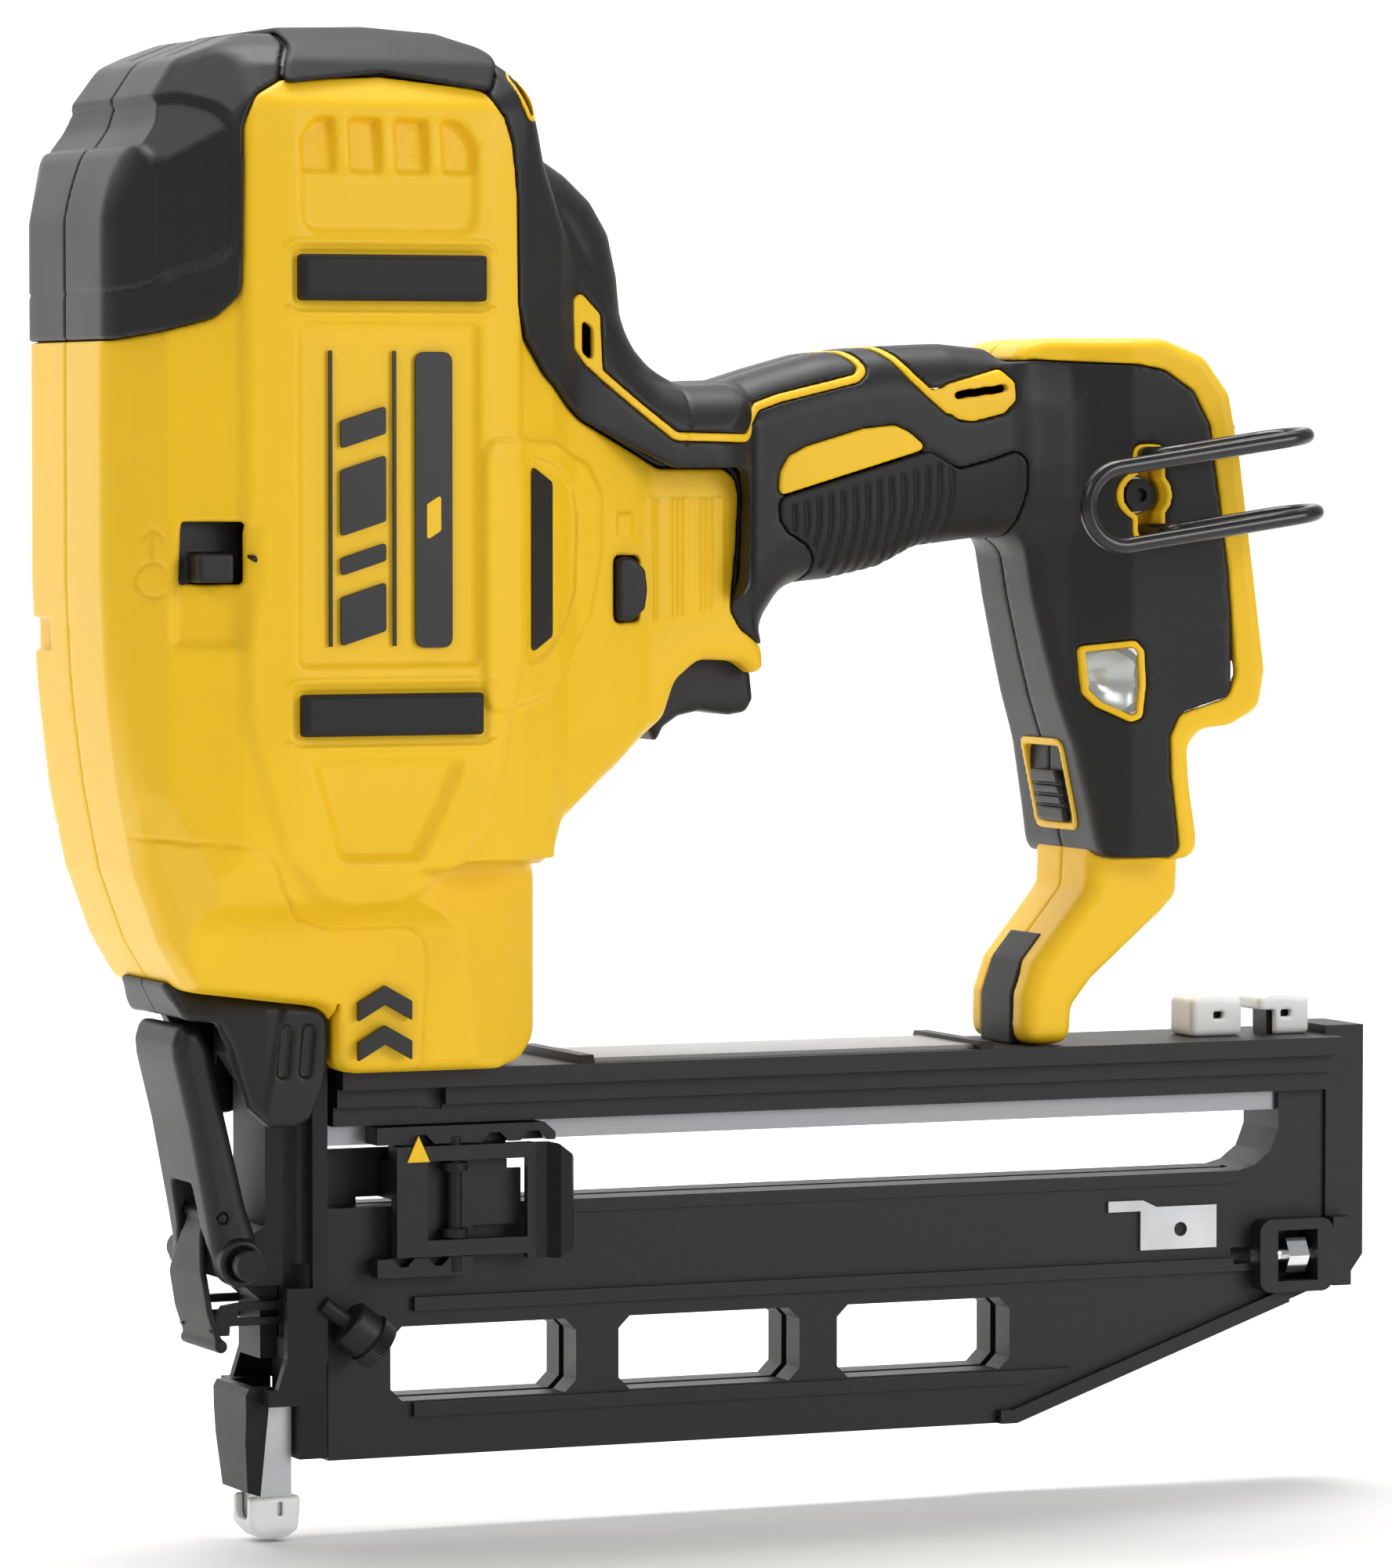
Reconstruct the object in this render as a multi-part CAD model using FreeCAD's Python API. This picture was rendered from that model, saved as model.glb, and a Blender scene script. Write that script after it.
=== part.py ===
import FreeCAD, Part
import math
import os

os.makedirs("parts", exist_ok=True)
V = FreeCAD.Vector

# Frame, in millimetres: +X towards the battery, +Y towards the right-hand side, +Z up along the
# drive axis. The origin is where the no-mar tip meets the work, on the drive axis.

# ---- driving dimensions -------------------------------------------------------------------
HALF_WIDTH = 47.0          # widest part of the housing, each side of the seam
WALL = 2.8                 # housing wall
CORNER_REACH = 67.0        # X + Y where the lower rear corners are cut off
HANDLE_HALF = 16.5         # half thickness of the handle bar
REAR_HALF = 25.0           # half width of the rear block
DOCK_X = 209.6             # front face of the battery dock
DOCK_HALF = 24.0           # half width of the battery pocket
MAG_TOP = 101.0            # top face of the magazine
MAG_HALF = 8.5             # half width of the magazine channel
MAG_FRONT = 9.7            # where the magazine starts behind the nose
MAG_BACK = 259.0           # back face of the magazine end cap
SLOT_LOW = 71.0            # lower edge of the see-through pusher slot
SLOT_HIGH = 84.3           # upper edge of the slot, and underside of the steel rail
RAIL_TOP = 88.8            # top of the steel rail
SLOT_BACK = 238.0          # back end of the slot
NAIL_HALF = 1.1            # half width of the nail channel
BLADE_W = 3.2              # driver blade width
BLADE_T = 1.6              # driver blade thickness
TRIP_TRAVEL = 7.0          # travel of the contact trip
TIP_HEIGHT = 10.0          # height of the no-mar tip
LATCH_X = -12.5            # axis of the jam lever, along Y
LATCH_Z = 61.0
LATCH_PIN_R = 2.5
DOOR_X = -6.0              # axis of the front door, along Y
DOOR_Z = 107.0
DOOR_PIN_R = 1.6
LINK_X = -16.0             # where the link turns in the jam lever
LINK_Z = 70.5
LINK_PIN_R = 1.2
FLY_X = 28.6               # flywheel axis, along Y
FLY_Z = 215.0
FLY_R = 25.0
ROLLER_R = 9.0
ROLLER_X = -13.3           # pinch roller axis, along Y, a millimetre clear of the driver
ROLLER_Z = 215.0
ARM_X = -26.0              # pivot of the pinch roller arm
ARM_Z = 232.0
ARM_PIN_R = 2.0
GUIDE_X = -3.8             # return rails
GUIDE_Y = 10.0
GUIDE_R = 1.5
TRIGGER_X = 81.5           # trigger pivot
TRIGGER_Z = 176.0
TRIGGER_PIN_R = 2.0
HOOK_WIRE_R = 1.75
HOOK_Z = 223.2             # centre height of the belt hook
SOCKET_X = 197.5           # where the belt hook's ends go in
SCREW_R = 1.5
SCREW_SPOTS = [(62.0, 181.0, 24.0), (-29.0, 143.0, 29.0), (-37.5, 262.0, 27.0), (50.0, 276.0, 29.0),
               (150.0, 232.0, 11.5), (197.2, 160.0, 13.0)]   # X, Z and seat of each screw head
WHEEL_Y = 15.4             # depth wheel, out from the seam
WHEEL_AXIS = V(0.8, 0, -0.6)
WHEEL_START = (11.5, -WHEEL_Y, 47.475)
WHEEL_STUD_R = 1.8
SHOE_INSIDE = -6.4         # back face of the contact trip's front wall
NAIL_EXIT_R = 2.3          # hole in the no-mar tip that the nail leaves by
WINDOWS = [(24.0, 67.0), (77.0, 120.0), (129.0, 171.0)]   # see-through windows along the magazine
SPARE_X = (224.0, 241.0)   # spare no-mar pads on their studs
BOLT_Y = -8.8              # end cap bolt, along X
BOLT_Z = 51.6
BOLT_R = 2.0
PUSHER_PIN_X = 37.0        # pivot of the pusher latch, along Z
PUSHER_PIN_Y = -12.9
PUSHER_PIN_R = 1.6
RUN_GAP = 0.06             # radial clearance of a running fit


# ---- small builders -------------------------------------------------------------------------
def box(x0, x1, y0, y1, z0, z1):
    return Part.makeBox(x1 - x0, y1 - y0, z1 - z0, V(x0, y0, z0))


def side(points, y0, y1):
    """Prism of an XZ outline between two Y planes."""
    wire = Part.makePolygon([V(x, y0, z) for x, z in points + points[:1]])
    return Part.Face(wire).extrude(V(0, y1 - y0, 0))


def plan(points, z0, z1):
    """Prism of an XY outline between two Z planes."""
    wire = Part.makePolygon([V(x, y, z0) for x, y in points + points[:1]])
    return Part.Face(wire).extrude(V(0, 0, z1 - z0))


def front(points, x0, x1):
    """Prism of a YZ outline between two X planes."""
    wire = Part.makePolygon([V(x0, y, z) for y, z in points + points[:1]])
    return Part.Face(wire).extrude(V(x1 - x0, 0, 0))


def both_y(half):
    """Closed outline from (x, y) points of its +Y half."""
    return half + [(x, -y) for x, y in reversed(half)]


def both_sides(half):
    """Closed outline from (y, z) points of its +Y half."""
    return half + [(-y, z) for y, z in reversed(half)]


def rod_y(x, z, y0, y1, radius):
    return Part.makeCylinder(radius, y1 - y0, V(x, y0, z), V(0, 1, 0))


def rod_z(x, y, z0, z1, radius):
    return Part.makeCylinder(radius, z1 - z0, V(x, y, z0), V(0, 0, 1))


def rod_x(y, z, x0, x1, radius):
    return Part.makeCylinder(radius, x1 - x0, V(x0, y, z), V(1, 0, 0))


def tube_z(x, y, z0, z1, outer, inner):
    return rod_z(x, y, z0, z1, outer).cut(rod_z(x, y, z0 - 1, z1 + 1, inner))


def join(*shapes):
    result = shapes[0]
    for shape in shapes[1:]:
        result = result.fuse(shape)
    return result.removeSplitter()


def drop(shape, *tools):
    for tool in tools:
        shape = shape.cut(tool)
    return shape


def mirrored(shape):
    return shape.mirror(V(0, 0, 0), V(0, 1, 0))


def soften(shape, radius, pick):
    """Round the picked edges, or leave the shape as it is where a round can't be made."""
    edges = [edge for edge in shape.Edges if pick(edge)]
    try:
        rounded = shape.makeFillet(radius, edges)
        return rounded if rounded.isValid() and rounded.Volume > 0 else shape
    except Exception:
        return shape


def along(axis):
    def pick(edge):
        if not isinstance(edge.Curve, Part.Line):
            return False
        direction = edge.Curve.Direction
        return abs(abs(direction.dot(axis)) - 1.0) < 1e-6
    return pick


def hex_prism(x0, x1, y, z, flat):
    corner = flat / math.cos(math.pi / 6)
    points = [(y + corner * math.cos(math.radians(60 * k)), z + corner * math.sin(math.radians(60 * k)))
              for k in range(6)]
    return front(points, x0, x1)


def save(name, shape):
    shape = shape.removeSplitter() if shape.ShapeType != "Compound" else shape
    assert shape.isValid(), name
    assert shape.Volume > 0, name
    shape.exportStep(f"parts/{name}.step")


def save_group(name, shapes):
    save(name, Part.makeCompound(shapes))


# ---- housing outlines ------------------------------------------------------------------------
BODY_SIDE = [
    (5, 101), (43, 101), (51, 103.5), (55.5, 109), (55.5, 142), (53.5, 147), (57, 155), (68, 164), (76, 170),
    (84, 175), (87, 183), (93, 187.5), (103, 187), (106.5, 184), (109.5, 185), (109, 190), (102, 197),
    (103, 249), (84, 249), (75.5, 255), (72.5, 270), (68, 284), (60, 292), (50, 295), (46.5, 307), (43, 315),
    (36, 320), (16, 321.5), (-16, 319.5), (-31, 313), (-36, 302), (-42, 293), (-46.5, 281), (-46.5, 205),
    (-45, 185), (-42, 162), (-38.5, 144), (-33, 129), (-26, 119.9), (5, 115.5)]
BODY_PLAN = [(-47, 24), (-44, 28), (-37, 38), (-22, 45), (-11, HALF_WIDTH), (33, HALF_WIDTH), (44, 43),
             (58, 33), (68, 26), (80, 19), (104, 16), (110, 14)]
BODY_FRONT = [(24, 101), (28, 108), (30, 131), (41, 137), (45, 146), (HALF_WIDTH, 160), (HALF_WIDTH, 292),
              (45, 304), (38, 313), (28, 321.6)]
BODY_HOLLOW = [
    (8, 104), (42, 104), (49, 106), (52.5, 110), (52.5, 141), (50.5, 148), (55, 158), (66, 167), (81, 176),
    (100, 192), (100, 246), (82, 246), (73, 253), (69.5, 269), (65.5, 282), (58.5, 289), (47.5, 292.5),
    (43.5, 306), (40.5, 313), (35, 317), (16, 318.6), (-15, 316.5), (-28.5, 310.5), (-33, 301), (-39, 292),
    (-43, 280), (-43, 205), (-42, 186), (-39, 163), (-35, 145), (-30, 131), (-24, 122.4), (8, 118.6)]
HANDLE_SIDE = [
    (84, 249), (97, 249.5), (112, 252), (127, 255), (139, 256), (156, 255), (176, 253.5), (176, 214),
    (165, 214), (148, 211.5), (139, 207), (127, 205), (117, 204.5), (112, 198), (109, 190), (100, 192),
    (84, 225)]
HANDLE_HOLLOW = [
    (84, 246), (112, 249), (127, 252), (139, 253), (156, 252), (178, 250), (178, 217), (165, 217),
    (148, 214.5), (139, 210), (127, 208), (116, 207.5), (109, 199), (106.5, 193), (98, 192), (84, 222)]
REAR_SIDE = [
    (172, 254), (176, 257), (205, 257), (214, 253), (219.5, 243), (224.5, 184), (222.5, 176.5), (217, 173),
    (204, 170), (202.5, 158), (206, 142), (188.5, 142), (184, 154), (180, 168), (176.5, 187), (173, 214)]
REAR_HOLLOW = [
    (170, 250), (196, 249.5), (203, 246), (207, 238), (209.6, 205), (209.6, 182), (199, 177), (194, 171),
    (195, 145), (191, 145), (187, 156), (183, 170), (179.5, 190), (176, 217), (170, 217)]
REAR_PLAN = [(165, 15), (176, 16), (190, 20), (202, REAR_HALF), (230, REAR_HALF + 5)]
STRUT_SIDE = [
    (188.5, 142), (206, 142), (210.5, 138.5), (208.5, 130), (188, 113.5), (183.6, 108), (183.6, MAG_TOP),
    (171, MAG_TOP), (171, 112.5), (173.5, 118.5), (182.5, 127), (187.5, 133.5)]

CAP_REGION = [(-60, 256), (-30, 257.5), (-24, 261), (-22, 266), (-22, 308), (41, 308), (41, 330), (-60, 330)]
BLACK_REGION = [(41, 330), (41, 263), (48, 249), (60, 239), (82, 233), (100, 233), (103, 225), (101, 198),
                (107, 191), (113, 190), (180, 190), (180, 330)]
LED_FACET = [(182, 19.5), (184, 17.2), (192, 19.2), (192, 21.6)]      # plan of an LED window's block
LED_OPENING = [(183.4, 21), (184.6, 16), (190.6, 17), (190.6, 23)]
SIDE_PANEL = [(160, 252.3), (196, 252.5), (203, 249), (207, 244), (214.5, 187), (213, 180), (207, 177),
              (200, 175), (197, 171), (199, 150), (198.5, 141), (150, 141), (150, 252.3)]


def rear_corners(reach):
    """What the chamfers take off the two lower rear corners of the housing."""
    corner = plan([(reach - 60, 60), (reach - 12.5, 12.5), (80, 12.5), (80, 60)], 90, 143)
    return join(corner, mirrored(corner))


def housing_outside():
    body = side(BODY_SIDE, -60, 60).common(plan(both_y(BODY_PLAN), 90, 330))
    return body.common(front(both_sides(BODY_FRONT), -60, 120)).cut(rear_corners(CORNER_REACH))


def housing_inside():
    inner_plan = [(x + (1.4 if x < -11 else 0), y - WALL) for x, y in BODY_PLAN]
    inner_front = [(y - WALL, z) for y, z in BODY_FRONT]
    inside = side(BODY_HOLLOW, -60, 60).common(plan(both_y(inner_plan), 90, 330))
    inside = inside.common(front(both_sides(inner_front), -60, 120))
    return inside.cut(rear_corners(CORNER_REACH - math.sqrt(2) * WALL))


def rear_outside():
    return side(REAR_SIDE, -60, 60).common(plan(both_y(REAR_PLAN), 130, 270))


def rear_inside():
    inner_plan = [(x, y - WALL) for x, y in REAR_PLAN]
    return side(REAR_HOLLOW, -60, 60).common(plan(both_y(inner_plan), 130, 270))


LEFT = box(-100, 300, -80, 0, 0, 400)
STALL_WINDOW = box(-33, -21, -60, -20, 205, 218)
TRIGGER_SLOT = box(77.5, 111, -8.6, 8.6, 165, 194)
LOCK_SLOT = box(69, 77, -60, 60, 195.6, 210.4)
ARM_SLOT = box(2.6, 9.4, -17, 17, 95, 125)
DRIVE_SLOT = box(-9, 9.5, -12, 12, 95, 125)
TRIGGER_PIN_WAY = rod_y(TRIGGER_X, TRIGGER_Z, -14, 14, TRIGGER_PIN_R)
MODE_WINDOW = box(178, 196, -9, 9, 149, 168)
BATTERY_POCKET = box(DOCK_X, 240, -DOCK_HALF, DOCK_HALF, 160, 246)
SOCKET_SLOTS = join(box(SOCKET_X - 4, SOCKET_X + 4, -60, 60, HOOK_Z - 11, HOOK_Z + 11),
                    rod_y(SOCKET_X - 1, HOOK_Z - 0.5, -60, 60, 6))
BEZEL_HOLES = [box(181, 192, 17, 30, 172, 189), box(181, 192, -30, -17, 172, 189)]


def make_housing():
    outside = housing_outside()
    inside = housing_inside()
    handle_bar = side(HANDLE_SIDE, -HANDLE_HALF, HANDLE_HALF)
    handle_hollow = side(HANDLE_HOLLOW, -HANDLE_HALF + WALL, HANDLE_HALF - WALL)
    rear = rear_outside()
    rear_hollow = rear_inside()
    black = side(BLACK_REGION, -60, 60)
    cap = side(CAP_REGION, -60, 60)
    panel = side(SIDE_PANEL, -60, 60)
    hollow = join(inside, handle_hollow, rear_hollow)
    whole = join(outside, handle_bar, rear)
    bosses = [rod_y(x, z, -60, 60, 4.2).common(whole) for x, z, head in SCREW_SPOTS]
    hollow = drop(hollow, *bosses)
    screw_ways = [join(rod_y(x, z, -8, head, SCREW_R), rod_y(x, z, head, 60, 2 * SCREW_R + 0.2))
                  for x, z, head in SCREW_SPOTS]
    openings = [STALL_WINDOW, TRIGGER_SLOT, LOCK_SLOT, ARM_SLOT, DRIVE_SLOT, TRIGGER_PIN_WAY] + screw_ways

    yellow_body = drop(outside.cut(black).cut(cap), hollow, *openings)
    caps = drop(outside.common(cap).cut(black), hollow, *screw_ways)
    bulge = outside.common(black)
    handle = join(bulge, handle_bar.cut(outside.cut(black)), rear.common(panel))
    handle = drop(handle, hollow, TRIGGER_SLOT, MODE_WINDOW, SOCKET_SLOTS, BATTERY_POCKET, *BEZEL_HOLES,
                  *screw_ways)
    rims = drop(rear.cut(panel).cut(handle_bar), rear_hollow, BATTERY_POCKET, *screw_ways)
    strut = side(STRUT_SIDE, -15, 15)
    strut = strut.cut(box(160, 173.5, -8, 8, 90, 125))
    pieces = {"shell": yellow_body, "cap": caps, "handle": handle, "rear_shell": join(rims, strut)}
    for name, shape in pieces.items():
        left = shape.common(LEFT)
        right = shape.cut(LEFT)
        save(f"left_{name}", left)
        save(f"right_{name}", right)


def make_trim():
    save("top_bumper", side([(-8, 319.6), (-7, 321.4), (4, 323.2), (34, 323.2), (39, 321.4), (39, 318),
                             (16, 321)],
                            -26, 26).cut(housing_outside()))
    pads = [box(-10.5, 31.5, -HALF_WIDTH - 1.5, -HALF_WIDTH, 264, 273),
            box(-10, 30, -HALF_WIDTH - 1.5, -HALF_WIDTH, 173.5, 182)]
    pads = [soften(pad, 1.2, along(V(0, 1, 0))) for pad in pads]
    save_group("side_pads", pads + [mirrored(pad) for pad in pads])
    strap = box(170.4, 173.4, -7.9, 7.9, MAG_TOP, 122)
    save("strut_strap", strap)


def make_electrics():
    dock = box(DOCK_X, 214, -DOCK_HALF, DOCK_HALF, 178, 246)
    for sign in (-1, 1):
        rail = box(216, 218.4, *sorted((sign * DOCK_HALF, sign * (DOCK_HALF - 6))), 186, 238)
        web = box(214, 216, *sorted((sign * DOCK_HALF, sign * (DOCK_HALF - 2.5))), 186, 238)
        dock = join(dock, rail, web)
    save("battery_dock", dock)
    block = box(214, 217.5, -8, 8, 206, 232)
    for y in (-5.4, -1.8, 1.8, 5.4):
        block = join(block, box(217.5, 219.5, y - 0.5, y + 0.5, 210, 228))
    save("terminal_block", block)
    save("control_module", soften(box(197, 207, -17, 17, 184, 211), 1.5, along(V(1, 0, 0))))
    switch = join(box(88, 104, -8, 8, 203, 222), rod_z(98, 0, 197.5, 203, 2.2))
    save("trigger_switch", switch)
    bezels, lenses = [], []
    for sign in (1, -1):
        facet = plan([(x, sign * y) for x, y in LED_FACET], 172, 189)
        opening = plan([(x, sign * y) for x, y in LED_OPENING], 174.5, 186.5)
        bezels.append(facet.cut(opening))
        lenses.append(facet.common(opening))
    save_group("led_bezels", bezels)
    save_group("led_lenses", lenses)


# ---- belt hook and fasteners ------------------------------------------------------------------
def hook_wire():
    """One wire: upper socket, back along the side, outwards, forward, round and the same below."""
    inner_y, outer_y = -33.0, -49.0
    tilt = 8.3
    fold = abs(outer_y - inner_y) / 2
    upper, lower = HOOK_Z + 8.5, HOOK_Z - 8.5
    back_x, front_x = 219.8, 178.3
    reach = (upper - lower) / 2
    elbow = 5.0
    p = [V(SOCKET_X, -18, upper), V(SOCKET_X, inner_y + elbow, upper), V(SOCKET_X + elbow, inner_y, upper),
         V(back_x, inner_y, upper), V(back_x, outer_y, upper), V(front_x, outer_y, upper),
         V(front_x, outer_y, lower), V(back_x, outer_y, lower), V(back_x, inner_y, lower),
         V(SOCKET_X + elbow, inner_y, lower), V(SOCKET_X, inner_y + elbow, lower), V(SOCKET_X, -18, lower)]
    bend = elbow * (1 - math.sqrt(0.5))
    mid_y = (inner_y + outer_y) / 2
    edges = [
        Part.LineSegment(p[0], p[1]),
        Part.Arc(p[1], V(SOCKET_X + bend, inner_y + bend, upper), p[2]),
        Part.LineSegment(p[2], p[3]),
        Part.Arc(p[3], V(back_x + fold, mid_y, upper), p[4]),
        Part.LineSegment(p[4], p[5]),
        Part.Arc(p[5], V(front_x - reach, outer_y, HOOK_Z), p[6]),
        Part.LineSegment(p[6], p[7]),
        Part.Arc(p[7], V(back_x + fold, mid_y, lower), p[8]),
        Part.LineSegment(p[8], p[9]),
        Part.Arc(p[9], V(SOCKET_X + bend, inner_y + bend, lower), p[10]),
        Part.LineSegment(p[10], p[11])]
    path = Part.Wire([edge.toShape() for edge in edges])
    ring = Part.Wire([Part.Circle(p[0], V(0, 1, 0), HOOK_WIRE_R).toShape()])
    wire = path.makePipeShell([ring], True, True)
    wire.rotate(V(SOCKET_X, 0, HOOK_Z), V(0, 1, 0), -tilt)
    return wire


def make_fasteners():
    save("belt_hook", hook_wire())
    nut_z = HOOK_Z - 0.5
    nut_x = SOCKET_X - 1
    sockets = []
    for sign in (-1, 1):
        low, high = sorted((sign * 11.0, sign * 19.0))
        nut = rod_y(nut_x, nut_z, low, high, 4.0).cut(rod_y(nut_x, nut_z, low - 1, high + 1, 2.1))
        sockets.append(nut)
    save_group("hook_sockets", sockets)
    screw = join(rod_y(nut_x, nut_z, -19, -13, 2.05), rod_y(nut_x, nut_z, -21.6, -19, 3.6))
    screw = screw.cut(rod_y(nut_x, nut_z, -22, -20.2, 1.5))
    screws = [screw]
    for x, z, head in SCREW_SPOTS:
        screws.append(join(rod_y(x, z, -8, head, SCREW_R), rod_y(x, z, head, head + 2, 2 * SCREW_R)))
    save_group("housing_screws", screws)


# ---- drive ----------------------------------------------------------------------------------------
def make_drive():
    plates = []
    for y in (-21.5, 18.5):
        plate = side([(-22, 128), (36, 128), (38, 150), (52, 160), (56, 170), (56, 240), (40, 285),
                      (-22, 292),
                      (-34, 240), (-34, 220)], y, y + 3)
        plate = plate.cut(rod_y(FLY_X, FLY_Z, y - 1, y + 4, 4.0))
        plate = plate.cut(side([(10, 250), (38, 250), (32, 282), (10, 282)], y - 1, y + 4))
        plates.append(plate)
    base = box(-12, 12, -18.5, 18.5, 123, 130).cut(box(-1.6, 1.6, -2.4, 2.4, 120, 132))
    crown = box(-12, 12, -18.5, 18.5, 284, 290)
    holes = [rod_z(GUIDE_X, sign * GUIDE_Y, 120, 300, GUIDE_R) for sign in (-1, 1)]
    post = box(2, 9, -18.5, -10, 146.2, 150)
    arm_ways = [box(2, 9, *sorted((sign * 10.8, sign * 17.2)), 120, 132) for sign in (-1, 1)]
    frame = join(drop(join(base, crown, *plates), *holes, *arm_ways), post)
    frame = frame.cut(rod_y(ARM_X, ARM_Z, -25, 25, ARM_PIN_R))
    save("drive_frame", frame.common(housing_inside()))

    save_group("return_rails", [rod_z(GUIDE_X, sign * GUIDE_Y, 124, 289, GUIDE_R) for sign in (-1, 1)])
    springs = [tube_z(GUIDE_X, sign * GUIDE_Y, 130.1, 269.8, 3.0, 2.0) for sign in (-1, 1)]
    save_group("return_springs", springs)
    bumper = box(-6, 6, -6.2, 6.2, 130, 134.6).cut(box(-1.6, 1.6, -2.4, 2.4, 128, 136))
    save("driver_bumper", bumper)

    axle = rod_y(FLY_X, FLY_Z, -21.5, 21.5, 4.0)
    core = rod_y(FLY_X, FLY_Z, -17.5, 8, 18.5).cut(rod_y(FLY_X, FLY_Z, -18, 9, 8))
    teeth = [box(FLY_X - 19, FLY_X + 19, -15, 6, FLY_Z - 1.2, FLY_Z + 1.2)]
    for k in range(1, 6):
        tooth = teeth[0].copy()
        tooth.rotate(V(FLY_X, 0, FLY_Z), V(0, 1, 0), 30 * k)
        teeth.append(tooth)
    core = drop(core, *[tooth.cut(rod_y(FLY_X, FLY_Z, -30, 30, 12)) for tooth in teeth])
    hub = rod_y(FLY_X, FLY_Z, -18.4, 8, 8).cut(rod_y(FLY_X, FLY_Z, -30, 30, 4.0))
    save("motor_axle", axle)
    save("motor_stator", join(core, hub))
    wheel = rod_y(FLY_X, FLY_Z, -17, 17, FLY_R)
    for y in (-2.0, 0.8):
        groove = rod_y(FLY_X, FLY_Z, y, y + 1.2, FLY_R + 1).cut(rod_y(FLY_X, FLY_Z, y, y + 1.2, FLY_R - 0.8))
        wheel = wheel.cut(groove)
    wheel = wheel.cut(rod_y(FLY_X, FLY_Z, -18, 10, 20.0)).cut(rod_y(FLY_X, FLY_Z, 9, 18, 4.0 + RUN_GAP))
    for k in range(6):
        angle = math.radians(60 * k + 15)
        wheel = wheel.cut(rod_y(FLY_X + 14 * math.cos(angle), FLY_Z + 14 * math.sin(angle), 9, 18, 3.2))
    save("flywheel", wheel)

    profile = box(-3, 3, -5, 5, 225, 283)
    ears = box(-7, 3, -13, 13, 270, 280).cut(box(-8, -3, -6.3, 6.3, 269, 281))
    blade = box(-BLADE_T / 2, BLADE_T / 2, -BLADE_W / 2, BLADE_W / 2, 92, 226)
    driver = join(profile, ears, blade)
    driver = drop(driver, *[rod_z(GUIDE_X, sign * GUIDE_Y, 268, 282, GUIDE_R + 0.08) for sign in (-1, 1)])
    save("driver", driver)

    roller = rod_y(ROLLER_X, ROLLER_Z, -5.4, 5.4, ROLLER_R).cut(
        rod_y(ROLLER_X, ROLLER_Z, -6, 6, 3.0 + RUN_GAP))
    save("pinch_roller", roller)
    fork = side([(ROLLER_X - 4, ROLLER_Z - 4), (ROLLER_X + 4, ROLLER_Z - 4), (ROLLER_X + 4, ROLLER_Z + 4),
                 (ARM_X + 4, ARM_Z + 4), (ARM_X - 4, ARM_Z + 4), (ARM_X - 4, ARM_Z - 4)], 5.8, 8.4)
    bridge = box(ARM_X - 4, ARM_X + 1, -8.4, 8.4, ARM_Z - 5, ARM_Z + 4)
    arm = join(fork, mirrored(fork), bridge, rod_y(ROLLER_X, ROLLER_Z, -8.4, 8.4, 3.0),
               rod_y(ARM_X, ARM_Z, -18.2, 18.2, 4.5))
    arm = arm.cut(rod_y(ARM_X, ARM_Z, -30, 30, ARM_PIN_R + RUN_GAP))
    save("pinch_arm", arm)
    coil = join(box(-35.5, -21, -9, 9, 163, 200), rod_z(-29, 0, 200, 212, 3))
    save("solenoid", coil)
    save("trip_spring", tube_z(5.5, -14.0, 128.2, 146.0, 3.0, 2.0))


# ---- controls ---------------------------------------------------------------------------------------
def make_controls():
    outline = [(86.6, 169), (90, 173.5), (95, 176.2), (104, 175.6), (108, 176.4), (109, 179), (108.6, 184),
               (106, 190), (90, 192), (84, 184), (79.2, 179.5), (78.5, 175), (80, 172.6), (85.4, 173)]
    trigger = side(outline, -8, 8)
    trigger = trigger.cut(rod_y(TRIGGER_X, TRIGGER_Z, -10, 10, TRIGGER_PIN_R + RUN_GAP))
    save("trigger", trigger)
    save_group("pivot_pins", [rod_y(TRIGGER_X, TRIGGER_Z, -14, 14, TRIGGER_PIN_R),
                              rod_y(DOOR_X, DOOR_Z, -12.6, 12.6, DOOR_PIN_R),
                              rod_y(ARM_X, ARM_Z, -21.5, 21.5, ARM_PIN_R)])
    bolt = soften(box(69.4, 76.6, -26, 20.5, 196, 210), 3.2, along(V(0, 1, 0)))
    save("lock_off_button", bolt)
    lever = join(box(-31.4, -22.6, -45, -35.6, 205.4, 212), box(-34.4, -19, -35.6, -33.8, 200, 222))
    lever = lever.common(plan(both_y([(-36, 33), (-36, 38.6), (-22, 45.6), (-19, 46)]), 190, 230))
    save("stall_lever", lever)
    knob = soften(box(184.2, 190, -7.4, 7.4, 149.6, 162), 1.5, along(V(1, 0, 0)))
    save("mode_switch", knob)


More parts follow.
